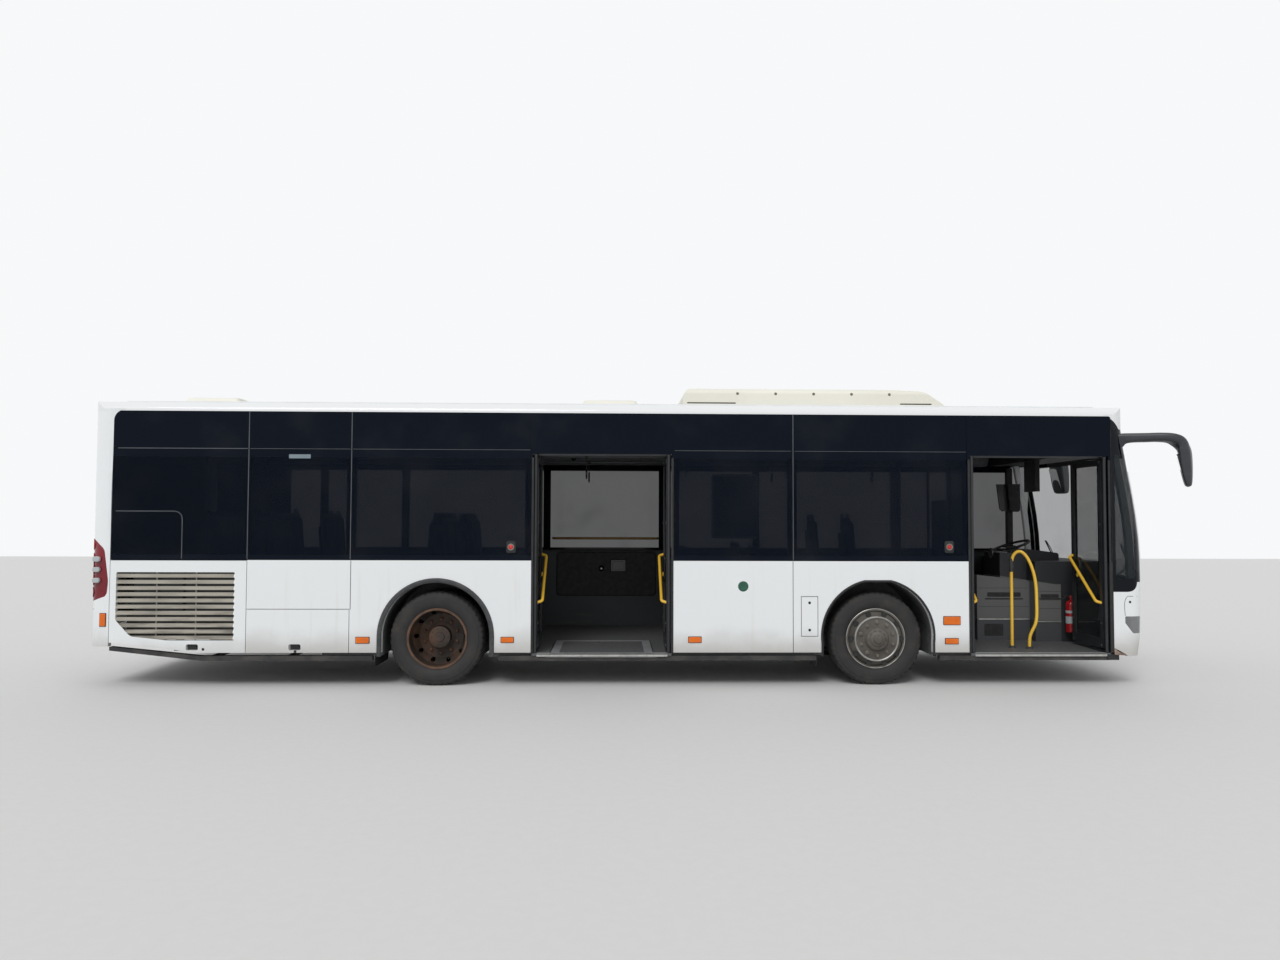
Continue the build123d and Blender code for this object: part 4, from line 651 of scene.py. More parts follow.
# Puts parts into one mesh, joins their doubled points and turns all faces outwards.
def makePiece(name, parts, look, body="root", sharp=35):
    corners, counts, shift = [], [], 0
    for points, blocks in parts:
        corners += [(block + shift).ravel() for block in blocks]
        counts += [np.full(len(block), block.shape[1]) for block in blocks]
        shift += len(points)
    spots = np.concatenate([points for points, blocks in parts])
    corners, counts = np.concatenate(corners), np.concatenate(counts)
    mesh = bpy.data.meshes.new(name)
    mesh.vertices.add(len(spots))
    mesh.vertices.foreach_set("co", spots.ravel())
    mesh.loops.add(len(corners))
    mesh.loops.foreach_set("vertex_index", corners)
    mesh.polygons.add(len(counts))
    mesh.polygons.foreach_set("loop_start", np.concatenate(([0], np.cumsum(counts)[:-1])))
    mesh.update(calc_edges=True)
    work = bmesh.new()
    work.from_mesh(mesh)
    bmesh.ops.remove_doubles(work, verts=work.verts, dist=2e-6)
    bmesh.ops.recalc_face_normals(work, faces=work.faces)
    work.to_mesh(mesh)
    work.free()
    mesh.polygons.foreach_set("use_smooth", np.ones(len(mesh.polygons), bool))
    mesh.set_sharp_from_angle(angle=math.radians(sharp))
    mesh.materials.append(looks[look][0])
    piece = intoScene(name, mesh)
    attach(piece, body)
    return piece


def tube(corners, radius, reach=0.05, count=12):  # a round tube through bent corners
    run = np.abs(np.subtract(corners[0], corners[-1]))
    top = (0.01, 0.02, 1) if run[2] < run[0] else (0.02, 1, 0.01)
    return swept(bent(corners, reach, 8), ringOutline(radius, count), top)


# Where a straight line first meets one of the named CAD nodes: for pieces that lie on a curved skin.
def onSkin(names, start, direction):
    start, nearest = Vector(start), None
    for name in names.split():
        hit, spot, normal, index = nodes[name].ray_cast(start, Vector(direction))
        if hit and (nearest is None or (spot - start).length < (nearest - start).length):
            nearest = spot
    return None if nearest is None else np.array(nearest)


def frontSpot(names, y, z):
    return onSkin(names, (6.0, y, z), astern)


def rearSpot(names, y, z):
    return onSkin(names, (-7.0, y, z), ahead)


# A thin raised line on a curved skin, through the points where straight lines meet it.
def skinLine(names, starts, direction, width, high=0.0012):
    spots = [onSkin(names, start, direction) for start in starts]
    path = np.array([spot for spot in spots if spot is not None])
    w = width / 2
    section = [(-w, -0.003), (w, -0.003), (w, high * 0.6), (w * 0.6, high), (-w * 0.6, high), (-w, high * 0.6)]
    return swept(path, section, -unit(np.array(direction, float)))


def levelLine(names, x, reach, z, width, high=0.0012):  # across the front or the rear, at one height
    starts = [(x, y, z) for y in np.linspace(*reach)]
    return skinLine(names, starts, astern if x > 0 else ahead, width, high)


tread = {"grooves": (-0.073, -0.026, 0.026, 0.073), "grooveHalf": 0.0045, "deep": 0.011, "wave": 0.004,
         "waves": 36, "blocks": 48, "sipe": 0.22, "sipeDeep": 0.007, "turns": 288,
         "wall": ((0.300, -0.108), (0.318, -0.122), (0.345, -0.133), (0.380, -0.1365), (0.405, -0.134),
                  (0.412, -0.1335), (0.415, -0.1305), (0.430, -0.1285), (0.443, -0.1255), (0.452, -0.121),
                  (0.459, -0.114), (0.464, -0.104))}


# Tyre skin: a rounded section turned about the axle, with waving grooves and notched shoulders.
def makeTyre(x, y):
    wall = list(tread["wall"])
    flat = [(tyreRadius - 0.0004, h) for h in np.linspace(-0.097, 0.097, 44)]
    profile = np.array(wall + flat + [(r, -h) for r, h in wall[::-1]] + [(0.286, 0.104), (0.286, -0.104)])
    turn = circleTurns(tread["turns"])
    radius, h = (np.repeat(profile[:, k:k + 1], tread["turns"], 1) for k in (0, 1))
    swing = tread["wave"] * np.abs(2 * ((turn * tread["waves"] / (2 * math.pi)) % 1) - 1) - tread["wave"] / 2
    onTread = radius > tyreRadius - 0.002
    for line in tread["grooves"]:
        radius = radius - tread["deep"] * (onTread & (np.abs(h - line - swing) < tread["grooveHalf"]))
    notch = ((turn * tread["blocks"] / (2 * math.pi)) % 1) < tread["sipe"]
    shoulder = (radius > 0.4505) & (np.abs(h) > 0.083)
    radius = radius - tread["sipeDeep"] * (shoulder & notch)
    points = np.stack((x + radius * np.cos(turn), y + h, tyreRadius + radius * np.sin(turn)), -1)
    return points.reshape(-1, 3), gridFaces(len(profile), tread["turns"], True)


# Profiles of the wheels' turned parts; a hub's heights start at its base.
wheelFit = {
    "nuts": 10, "nut": 0.0165, "nutStart": 0.31, "frontFace": 0.157,
    "ring": ((0.207, 0), (0.209, 0.006), (0.216, 0.009), (0.224, 0.007), (0.228, 0), (0.2, -0.004)),
    "lip": ((0.292, -0.045), (0.2925, -0.0375), (0.297, -0.036), (0.3005, -0.0375), (0.301, -0.045)),
    "frontHub": ((0, 0.030), (0.030, 0.036), (0.040, 0.034), (0.043, 0.026), (0.047, 0.022), (0.060, 0.020),
                 (0.071, 0.015), (0.078, 0.006), (0.102, 0.004), (0.108, 0.0), (0.108, -0.012), (0, -0.012)),
    "frontBolt": ((0, 0.036), (0.0095, 0.036), (0.0095, 0.044), (0.007, 0.047), (0, 0.047)),
    "hole": ((0, -0.0045), (0.0235, -0.0045), (0.0265, -0.003), (0.0285, -0.0005), (0.0285, 0.002),
             (0.0255, 0.0025), (0.0235, 0.0)),
    "rearHub": ((0, 0.014), (0.046, 0.013), (0.050, 0.006), (0.084, 0.004), (0.103, 0.0), (0.106, -0.006),
                (0.106, -0.02), (0, -0.02)),
    "rearBolt": ((0, 0.130), (0.008, 0.130), (0.008, 0.139), (0, 0.141)),
    "rearLip": ((0.277, 0.103), (0.2785, 0.117), (0.284, 0.1185), (0.290, 0.1185), (0.3, 0.1185),
                (0.3015, 0.117), (0.3015, 0.112)),
}


def nutProfile(radius, high):
    return [(0, 0), (radius * 1.35, 0), (radius * 1.35, 0.003), (radius, 0.004), (radius, high - 0.004),
            (radius * 0.8, high), (radius * 0.55, high), (radius * 0.5, high + 0.007), (0, high + 0.008)]


def hubProfile(name, base):
    return [(r, h + base) for r, h in wheelFit[name]]


# A front wheel: nuts, a raised ring on the disc, a stepped hub with bolts and a cap, and the holes' rims.
def dressFrontWheel(side, sign):
    centre, out = np.array((frontAxle, sign * (1.055 + wheelFit["frontFace"]), tyreRadius)), (0, sign, 0)
    turns = circleTurns(wheelFit["nuts"])
    nut = turned(nutProfile(wheelFit["nut"], 0.026), centre + (0.167, 0, 0), out, 6)
    bolt = turned(wheelFit["frontBolt"], centre + (0.089, 0, 0), out, 6)
    hole = turned(wheelFit["hole"], centre + (0.250, -sign * 0.0135, 0), out, 20)
    ring, lip = turned(wheelFit["ring"], centre, out, 72), turned(wheelFit["lip"], centre, out, 96)
    hub = turned(hubProfile("frontHub", 0.035), centre, out, 48)
    for name, parts, look in (("nuts", [wheeled(nut, centre, turns + wheelFit["nutStart"])], "dustySteel"),
                              ("rings", [ring, lip], "brightSteel"),
                              ("hub", [hub, wheeled(bolt, centre, turns)], "front_rim_grey"),
                              ("hole_rims", [wheeled(hole, centre, turns)], "rubber")):
        makePiece(f"front_{side}_{name}", parts, look, f"front_{side}_wheel")


# A rear pair: nuts on the deep disc, a flanged hub with small bolts, and a rusty step inside the rim.
def dressRearWheel(side, sign):
    centre, out = np.array((rearAxle, sign * 0.917, tyreRadius)), (0, sign, 0)
    turns = circleTurns(wheelFit["nuts"])
    nut = turned(nutProfile(wheelFit["nut"], 0.030), centre + (0.170, sign * 0.014, 0), out, 6)
    bolt = turned(wheelFit["rearBolt"], centre + (0.086, 0, 0), out, 6)
    hub = turned(hubProfile("rearHub", 0.128), centre, out, 48)
    step = turned(wheelFit["rearLip"], centre + (0, sign * 0.157, 0), out, 96)
    for name, parts, look in (("nuts", [wheeled(nut, centre, turns + wheelFit["nutStart"])], "rustySteel"),
                              ("hub", [hub, wheeled(bolt, centre, turns)], "rear_rim_rust"),
                              ("lip", [step], "rustySteel")):
        makePiece(f"rear_{side}_{name}", parts, look, f"rear_{side}_wheels")


def makeWheels():
    for side, sign in sides:
        front = makePiece(f"front_{side}_tread", [makeTyre(frontAxle, sign * 1.055)], "tyre",
                          f"front_{side}_wheel", 40)
        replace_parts(front, f"front_{side}_tyre")
        pair = [makeTyre(rearAxle, sign * y) for y in (0.76, 1.074)]
        rear = makePiece(f"rear_{side}_treads", pair, "tyre", f"rear_{side}_wheels", 40)
        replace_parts(rear, f"rear_{side}_tyres")
        dressFrontWheel(side, sign)
        dressRearWheel(side, sign)


makeWheels()
print("wheels made")

archFit = {
    "rearRadius": 0.530, "rearHeight": 0.495, "foot": 0.300, "rearHalf": 0.023, "spread": 0.550, "leg": 0.430,
    "top": 1.035, "crown": 0.135, "frontHalf": 0.011, "steps": 40,
    # sections: shares of the half width, and heights
    "rearLip": ((-1, -0.004), (1, -0.004), (1, 0.004), (0.7, 0.010), (-0.3, 0.013), (-0.8, 0.010),
                (-1, 0.004)),
    "frontLip": ((-1, -0.004), (1, -0.004), (1, 0.004), (0.4, 0.008), (-0.6, 0.007), (-1, 0.003)),
}


# Rear arch: half a circle on two legs. Front arch: legs, wide arcs through three points and a level crown.
def archPaths():
    a = archFit
    turn = np.linspace(math.pi, 0, a["steps"])
    r = a["rearRadius"] + a["rearHalf"]
    ring = np.stack((rearAxle + r * np.cos(turn), a["rearHeight"] + r * np.sin(turn)), -1)
    rear = np.vstack(((ring[0, 0], a["foot"]), ring, (ring[-1, 0], a["foot"])))
    s, top = a["spread"] + a["frontHalf"], a["top"] + a["frontHalf"]
    three = np.array(((-s, a["leg"]), (-0.78 * s, a["leg"] + 0.69 * (top - a["leg"])), (-a["crown"], top)))
    (x1, z1), (x2, z2), (x3, z3) = three
    d = 2 * (x1 * (z2 - z3) + x2 * (z3 - z1) + x3 * (z1 - z2))
    q1, q2, q3 = (three ** 2).sum(1)
    cx = (q1 * (z2 - z3) + q2 * (z3 - z1) + q3 * (z1 - z2)) / d
    cz = (q1 * (x3 - x2) + q2 * (x1 - x3) + q3 * (x2 - x1)) / d
    start, end = math.atan2(z1 - cz, x1 - cx), math.atan2(z3 - cz, x3 - cx)
    arc = np.linspace(start + 2 * math.pi * (start < 0), end, a["steps"] // 2)
    radius = math.hypot(x1 - cx, z1 - cz)
    left = np.stack((cx + radius * np.cos(arc), cz + radius * np.sin(arc)), -1)
    front = np.vstack(((-s, a["foot"]), left, left[::-1] * (-1, 1), (s, a["foot"])))
    return ("rear", rear), ("front", front + (frontAxle, 0))


def makeArches():
    for side, sign in sides:
        for end, path in archPaths():
            lip = np.array(archFit[end + "Lip"]) * (-sign * archFit[end + "Half"], 1)
            edge = swept(np.insert(path, 1, sign * half, 1), lip, (0, sign, 0))
            makePiece(f"{end}_arch_{side}", [edge], "archGrey" if end == "rear" else "rubber")
        flaps = []
        for x, y, wide in ((rearAxle - 0.60, sign * 0.915, 0.56), (frontAxle - 0.60, sign * 1.06, 0.30)):
            path = bent([(x, y, 0.50), (x + 0.004, y, 0.36), (x - 0.012, y, 0.185)], 0.1)
            flaps.append(swept(path, bead(wide / 2, -0.003, wide / 2, 0.003), ahead))
        makePiece(f"mud_flaps_{side}", flaps, "rubber")


makeArches()
print("arches made")

sideFit = {
    # station, height, width, height of the lens; the turn lamp comes last
    "lamps": ((2.686, 0.4605, 0.130, 0.057), (4.106, 0.4635, 0.122, 0.050), (5.9635, 0.465, 0.125, 0.054),
              (8.538, 0.450, 0.130, 0.052), (0.162, 0.6585, 0.056, 0.123), (8.541, 0.6545, 0.166, 0.079)),
    "buttons": ((4.135, 1.380), (8.519, 1.390)),
    # station, low and high end of the dark joints, whose strips also paint the shade in the panel gaps;
    # stations of the pale ones, and the spans between them
    "dark": ((6.945, 0.338, 1.243), (2.561, 0.762, 1.243)), "darkLeft": (1.549, 2.561, 4.316, 5.761, 8.704),
    "pale": (1.546, 2.554, 6.948), "paleLeft": (4.339, 5.752, 8.700),
    "spans": ((1.56, 2.545), (2.565, 4.32), (5.76, 6.93), (6.965, 8.70)),
    "spansLeft": ((4.35, 5.74), (8.71, 10.0)),
    "fillet": ((0.190, 1.262), (0.1965, 1.262), (0.215, 1.800), (0.223, 2.300)), "filletTop": 2.735,
    "lock": ((0, 0.0025), (0.005, 0.0025), (0.006, 0.0015), (0.0115, 0.003), (0.014, 0.0)),
    "locks": (("radiator_flap", ((1.137, 0.372),)), ("service_flap", ((2.031, 0.350),)),
              ("filler_flap", ((7.110, 0.560), (7.110, 0.830)))),
    "pockets": (("radiator_flap", 1.031), ("service_flap", 2.031)), "pocketZ": 0.391,
    "disc": (6.446, 0.993, 0.052), "sills": ((2.72 + 1.27, 4.30), (5.775, 6.94), (6.95, 7.20)),
}


# Side lamps: an orange lens with ribs inside a black tray.
def sideLamp(plane, station, z, width, height):
    x, longer, level = along(station), max(width, height), width >= height
    count = max(3, int(longer / 0.011))
    spots = (np.arange(count) - (count - 1) / 2) * (longer - 0.02) / count
    wide, high = (0.0035, height - 0.014) if level else (width - 0.014, 0.0035)
    rib = bar(plane, x, z, wide, high, 0.011, 0.0146, 0.0015, 0.001)
    shift = np.stack((spots * level, spots * 0, spots * (not level)), -1)
    tray = bar(plane, x, z, width + 0.010, height + 0.010, -0.002, 0.004, 0.006)
    return tray, [bar(plane, x, z, width, height, 0.002, 0.013, 0.010, 0.004), repeated(rib, shift)]


def makeSideLamps():
    for plane, sign in sides:
        lamps = [sideLamp(plane, *row) for row in sideFit["lamps"]]
        makePiece(f"lamp_trays_{plane}", [tray for tray, lens in lamps], "rubber")
        makePiece(f"side_lamps_{plane}", [part for tray, lens in lamps for part in lens], "amber")


# Opening buttons on the glass: a black plate, a pale ring and a red push.
def makeDoorButtons():
    spots = [(along(station), -half, z) for station, z in sideFit["buttons"]]
    ring = [(0.024, 0.012), (0.026, 0.018), (0.031, 0.018), (0.033, 0.012)]
    push = [(0, 0.020), (0.014, 0.0195), (0.021, 0.017), (0.0235, 0.011), (0, 0.011)]
    plates = [bar("right", x, z, 0.096, 0.120, 0, 0.012, 0.018, 0.004) for x, y, z in spots]
    makePiece("button_plates", plates, "blackGloss")
    makePiece("button_rings", [turned(ring, spot, rightward, 32) for spot in spots], "brightSteel")
    makePiece("button_pushes", [turned(push, spot, rightward, 32) for spot in spots], "red")


def quarterArc(x, z, wide, high, start, end, count):
    turn = np.linspace(start, end, count)
    return np.stack((x + wide * np.cos(turn), z + high * np.sin(turn)), -1)


# A thin white filling of a corner of the black band; its outline is given as stations and heights.
def bandFillet(outline):
    outline = outline[::-1].copy()
    outline[:, 0] = along(outline[:, 0])
    return plate("right", outline, -0.001, 0.0011, 0.0003)


# Joints between panels and panes: thin strips that stand about a millimetre proud. The dark strips over the
# panel joints are the joints with the shade in their gaps painted in.
def makeSeams():
    dark, pale = [], []
    for plane, sign in sides:
        joints, uprights, spans = list(sideFit["dark"]), sideFit["pale"], sideFit["spans"]
        if plane == "left":
            joints += [(s, 0.338, 1.243) for s in sideFit["darkLeft"]]
            uprights, spans = uprights + sideFit["paleLeft"], spans + sideFit["spansLeft"]
            dark += [bar(plane, along(s), z, wide, 0.006, -0.001, 0.0007) for s, z, wide in
                     ((2.055, 0.761, 1.006), (0.85, 0.400, 1.39))]
        dark += [bar(plane, along(s), (low + high) / 2, 0.006, high - low, -0.001, 0.0007)
                 for s, low, high in joints]
        pale += [bar(plane, along(s), 1.985, 0.009, 1.46, -0.001, 0.0012) for s in uprights]
        pale.append(bar(plane, along(0.902), 2.345, 1.266, 0.008, -0.001, 0.0012))
        pale += [bar(plane, along((low + high) / 2), 2.345, high - low, 0.005, -0.001, 0.0009)
                 for low, high in spans]
    # the rear pane's inner line, a plain label, and the white fillets in two of the band's top corners
    edge = bent([(along(0.262), 1.724), (along(0.909), 1.724), (along(0.909), 1.259)], 0.09, 8)
    pale.append(swept(np.insert(edge, 1, -half, 1), bead(0.005, -0.001, 0.004, 0.001), rightward))
    high = sideFit["filletTop"]
    hollow = quarterArc(0.334, 2.617, 0.110, 0.110, math.pi, math.pi / 2, 12)
    rear = np.vstack((sideFit["fillet"], hollow, (0.334, high), (0.190, high)))
    hollow = quarterArc(10.120, 2.627, 0.095, 0.100, math.pi / 2, math.pi / 5, 8)
    front = np.vstack(((10.120, high), hollow, (10.1965, high)))
    makePiece("band_fillets", bothSides([bandFillet(rear), bandFillet(front)]), "white")
    makePiece("pane_label", [bar("right", along(2.045), 2.270, 0.212, 0.040, -0.001, 0.0008)], "dimPale")
    # dark joint strips, which also paint the shade in the panel gaps
    makePiece("panel_seams_and_shade", dark, "rubber")
    makePiece("pane_seams", pale, "seamGrey")


# Small fittings of the lower panels: round locks and handle pockets on the flaps, and a plain ring disc.
def makeSideFittings():
    for body, spots in sideFit["locks"]:
        locks = [turned(sideFit["lock"], (along(s), -half, z), rightward, 20) for s, z in spots]
        makePiece(body + "_locks", locks, "blackGloss", body)
    z = sideFit["pocketZ"]
    for body, s in sideFit["pockets"]:
        deep = facing((0, onSkin(body, (along(s), -2.0, z), leftward)[1], 0), rightward)
        pocket = slab(deep, along(s), z, 0.112, 0.054, 0.006, -0.001, 0.0015, 0.0004)
        catch = slab(deep, along(s), z + 0.003, 0.066, 0.018, 0.006, 0.001, 0.010, 0.003)
        makePiece(body + "_pocket", [pocket, catch], "blackGloss", body)
    s, z, r = sideFit["disc"]
    profile = [(0, 0.0012), (r * 0.55, 0.0012), (r * 0.62, 0.0020), (r * 0.93, 0.0020), (r, 0.0)]
    makePiece("ring_disc", [turned(profile, (along(s), -half, z), rightward, 48)], "discGreen")
    beads = [bar(plane, along((low + high) / 2), 0.335, high - low, 0.006, -0.002, 0.003)
             for plane, sign in sides for low, high in sideFit["sills"]]
    makePiece("sill_beads", beads, "rubber")


makeSideLamps()
makeDoorButtons()
makeSeams()
makeSideFittings()
print("side fittings made")

mirror = {
    # x, height, distance from the middle, half thickness, half width: down the arm and the shell
    "spine": ((4.735, 2.470, 1.195, 0.086, 0.036), (4.795, 2.466, 1.208, 0.084, 0.046),
              (4.850, 2.490, 1.226, 0.058, 0.056), (4.930, 2.499, 1.250, 0.048, 0.066),
              (5.060, 2.500, 1.292, 0.046, 0.080), (5.170, 2.500, 1.335, 0.046, 0.088),
              (5.275, 2.487, 1.366, 0.050, 0.088), (5.355, 2.443, 1.370, 0.062, 0.086),
              (5.400, 2.368, 1.370, 0.070, 0.086), (5.412, 2.275, 1.370, 0.071, 0.086),
              (5.422, 2.165, 1.370, 0.062, 0.086), (5.431, 2.075, 1.370, 0.049, 0.085),
              (5.437, 2.018, 1.370, 0.034, 0.078), (5.438, 2.001, 1.370, 0.012, 0.056)),
    # the drop's faces turn towards the driver: forward shift for each metre nearer the middle
    "square": 0.62, "sides": 44, "steps": 6, "turnIn": 0.50, "paneMiddle": (5.3575, -1.370, 2.190),
}


# Mirror: a rounded-square section whose size changes along a smooth spine, first the arm and then the shell.
def mirrorShape():
    rows = smoothRows(mirror["spine"], mirror["steps"])
    run = unit(np.gradient(rows[:, :2], axis=0))
    turn = circleTurns(mirror["sides"])
    c, s = (np.sign(v) * np.abs(v) ** mirror["square"] for v in (np.cos(turn), np.sin(turn)))
    x = rows[:, :1] - run[:, 1:] * rows[:, 3:4] * c
    z = rows[:, 1:2] + run[:, :1] * rows[:, 3:4] * c
    y = -rows[:, 2:3] + rows[:, 4:] * s
    x = x + mirror["turnIn"] * np.clip((2.47 - rows[:, 1:2]) / 0.08, 0, 1) * (y + rows[:, 2:3])
    return np.stack((x, y, z), -1).reshape(-1, 3), gridFaces(len(rows), mirror["sides"])


def makeMirrors():
    shells = makePiece("mirror_shells", bothSides([mirrorShape()]), "mirrorShell", sharp=50)
    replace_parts(shells, "mirrors")
    drop, level = unit(np.array((0.064, 0, -0.250))), unit(np.array((mirror["turnIn"], 1, 0)))
    face = (mirror["paneMiddle"], level, -drop, np.cross(-drop, level))
    makePiece("mirror_rims", bothSides([slab(face, 0, 0, 0.122, 0.280, 0.034, -0.020, 0.002, 0.002)]),
              "rubber")
    makePiece("mirror_panes", bothSides([slab(face, 0, 0, 0.112, 0.270, 0.030, -0.004, 0.0035, 0.001)]),
              "mirrorGlass")
    seam = smoothRows(mirror["spine"][2:6], 6)
    path = np.stack((seam[:, 0], -seam[:, 2] - seam[:, 4] * 0.93, seam[:, 1] - seam[:, 3] * 0.45), -1)
    joint = swept(path, bead(0.003, -0.002, 0.003, 0.0008), rightward)
    makePiece("mirror_joints", bothSides([joint]), "rubber")


makeMirrors()


# Painted highlights: pale strips along the windscreen's sides, where it turns furthest round as seen from the
# camera, stand in for the sky's reflection on the glass's edge.
def makeScreenEdgeHighlights():
    rows = []
    for z in np.linspace(1.000, 2.330, 24):
        spots = [frontSpot("windscreen", y, z) for y in np.linspace(-1.000, -1.262, 60)]
        spots = np.array([spot for spot in spots if spot is not None])
        lean = (spots[:, 0] + 0.321) / (spots[:, 1] + 10.860)
        rows.append(spots[np.argmax(lean)])
    path = smoothRows(np.array(rows)[::4], 4) + (-0.0070, -0.0095, 0)
    # white tubes that paint the windscreen's edge highlight, on both sides
    makePiece("screen_edge_highlights", bothSides([swept(path, ringOutline(0.0100, 14), (0.88, -0.48, 0))]), "white")


makeScreenEdgeHighlights()

nose = {
    # where the lines of the front are seen from ahead: distance from the middle, height
    "lineWidth": 0.004, "bumperTop": 0.511, "plate": (0.52, 0.115, 0.405), "maskJoint": 0.908,
    "wiperFoot": (0.34, 0.985), "wiperReach": 0.86, "wiperMiddle": 1.20, "bladeHalf": 0.46,
    "flap": ((10.301, 0.704), (10.297, 0.760), (10.295, 0.813), (10.300, 0.850), (10.315, 0.883),
             (10.329, 0.899), (10.38, 0.899), (10.43, 0.899)),
    "lock": ((0, 0.004), (0.004, 0.004), (0.005, 0.0025), (0.011, 0.0035), (0.013, 0.0), (0.013, -0.004)),
    "fogRim": ((0.047, -0.02), (0.058, -0.01), (0.060, 0.004), (0.055, 0.009), (0.048, 0.006)),
    "fogLens": ((0, 0.0065), (0.02, 0.006), (0.040, 0.002), (0.0475, -0.004), (0.0475, -0.02), (0, -0.02)),
    "scar": ((10.187, 0.378), (10.205, 0.372), (10.226, 0.352), (10.252, 0.342), (10.276, 0.331),
             (10.300, 0.322), (10.302, 0.3115), (10.262, 0.3105), (10.236, 0.3085), (10.214, 0.3135),
             (10.192, 0.3165), (10.186, 0.345)),
    "wiperCap": ((0, 0.040), (0.014, 0.038), (0.022, 0.028), (0.026, 0.0), (0.030, -0.02), (0, -0.02)),
    "blade": ((-0.003, -0.008), (0.003, -0.008), (0.006, 0.004), (0, 0.007), (-0.006, 0.004)),
}


# Joint lines, flap locks, a blank plate, air slots and round fog lamps, and the scraped corner of the bumper.
def makeFront():
    width = nose["lineWidth"]
    lines = [levelLine("front_mask headlamps", 6.0, (-1.16, 1.16, 60), nose["maskJoint"], width),
             levelLine("front_mask", 6.0, (-0.80, 0.80, 40), nose["bumperTop"] - 0.006, width)]
    for y in (-0.66, 0.66):
        starts = [(6.0, y, z) for z in np.linspace(0.52, nose["maskJoint"], 14)]
        lines.append(skinLine("front_mask", starts, astern, width))
    flap = skinLine("front_mask", [(along(s), -2.0, z) for s, z in nose["flap"]], leftward, 0.005)
    makePiece("front_lines", lines + bothSides([flap]), "seamGrey")
    locks, slots, lamps, rims = [], [], [], []
    for sign in (-1, 1):
        spot = onSkin("front_mask", (along(10.353), sign * 2.0, 0.841), (0, -sign, 0))
        locks.append(turned(nose["lock"], spot, (0, sign, 0), 24))
        spot, out = frontSpot("front_mask", sign * 0.90, 0.42), (1.0, sign * 0.35, 0)
        rims.append(turned(nose["fogRim"], spot, unit(np.array(out)), 36))
        lamps.append(turned(nose["fogLens"], spot, unit(np.array(out)), 36))
    makePiece("headlamp_flap_locks", locks, "blackGloss")
    face = frontSpot("front_mask", 0.0, 0.42)[0]
    wide, high, z = nose["plate"]
    board = slab(facing((face - 0.001, 0, z), ahead), 0, 0, wide, high, 0.008, -0.01, 0.006, 0.001)
    makePiece("blank_front_plate", [board], "pale")
    for row in range(3):
        z = 0.445 - 0.045 * row
        slots += bothSides([levelLine("front_mask", 6.0, (-0.62, -0.33, 12), z, 0.020, 0.0015)])
    makePiece("bumper_slots", slots, "rubber")
    makePiece("fog_lamp_rims", rims, "rubber")
    makePiece("fog_lamps", lamps, "lamp_body")
    rough = smoothRows(np.array(nose["scar"] + nose["scar"][:1]), 4)[:-1]
    rough = rough + 0.0022 * np.stack((np.sin(rough[:, 0] * 900), np.cos(rough[:, 1] * 1100)), -1)
    rough[:, 0] = along(rough[:, 0])
    makePiece("scraped_corner", [plate("right", rough[::-1], -0.004, 0.0016, 0.0006)], "scrape")


# Wipers: a root cap, an arm that rises over the screen, and a blade on a backbone along the curved glass.
def makeWipers():
    arms, blades = [], []
    for sign in (-1, 1):
        y, z, middle = sign * nose["wiperFoot"][0], nose["wiperFoot"][1], sign * nose["wiperReach"]
        foot = frontSpot("windscreen front_mask", y, z)
        tip = frontSpot("windscreen", middle, nose["wiperMiddle"])
        rows = smoothRows([foot + (0.004, 0, 0), foot + (0.045, sign * 0.04, 0.012),
                           (foot + tip) / 2 + (0.075, 0, 0.03), tip + (0.040, 0, 0)], 6)
        arms += [swept(rows, softBar(0.022, 0.012, 0.004), ahead), turned(nose["wiperCap"], foot, ahead, 20)]
        spread = np.linspace(-nose["bladeHalf"], nose["bladeHalf"], 30) * 0.62
        spots = np.array([frontSpot("windscreen", middle + d * 0.55, nose["wiperMiddle"] + d * 0.72)
                          for d in spread])
        blades.append(swept(spots + (0.008, 0, 0), nose["blade"], ahead))
        lift = 0.016 + 0.012 * np.abs(np.sin(np.linspace(0, 2 * math.pi, 30)))
        arms.append(swept(spots + lift[:, None] * ahead, softBar(0.012, 0.006, 0.002), ahead))
    makePiece("wiper_arms", arms, "blackGloss")
    makePiece("wiper_blades", blades, "rubber")


makeFront()
makeWipers()
print("front made")

tail = {
    "fins": ((1.278, 1.226), (1.174, 1.126), (1.069, 1.020)), "finRear": 0.058, "finFront": 0.128,
    "finProud": 0.026,
    # height, radius, look of the round lamps on each corner
    "lamps": ((1.395, 0.050, "amber"), (1.252, 0.052, "red"), (1.150, 0.052, "red"), (1.045, 0.052, "red"),
              (0.925, 0.046, "white")),
    "hood": ((0.011, 0.0), (0.011, 0.011), (-0.004, 0.0015), (-0.011, 0.0)), "plate": (0.52, 0.13, 1.41),
}


# Round lamps with ringed lenses, tilted with the corner they sit on.
def makeTailLamps():
    rims = []
    for z, r, tone in tail["lamps"]:
        near, spot, far = (rearSpot("tail_lamps rear_panel", y, z) for y in (-1.235, -1.195, -1.155))
        aft = (-1, (far[0] - near[0]) / 0.08, 0)
        glass = [(0, 0.004), (r * 0.4, 0.0038), (r * 0.8, 0.003), (r * 0.94, 0.001), (r * 0.94, -0.02),
                 (0, -0.02)]
        rings = [[(r * f, 0.001), (r * f + 0.001, 0.0050), (r * f + 0.004, 0.0050), (r * f + 0.005, 0.001)]
                 for f in (0.25, 0.5)]
        parts = [turned(profile, spot, aft, 36) for profile in [glass] + rings]
        makePiece("rear_lamp_%04d" % (z * 1000), bothSides(parts), tone)
        rim = [(r * 0.95, -0.02), (r * 0.95, 0.002), (r + 0.003, 0.0045), (r + 0.006, 0.002),
               (r + 0.007, -0.02)]
        rims.append(turned(rim, spot, aft, 36))
    makePiece("rear_lamp_rims", bothSides(rims), "lamp_red")


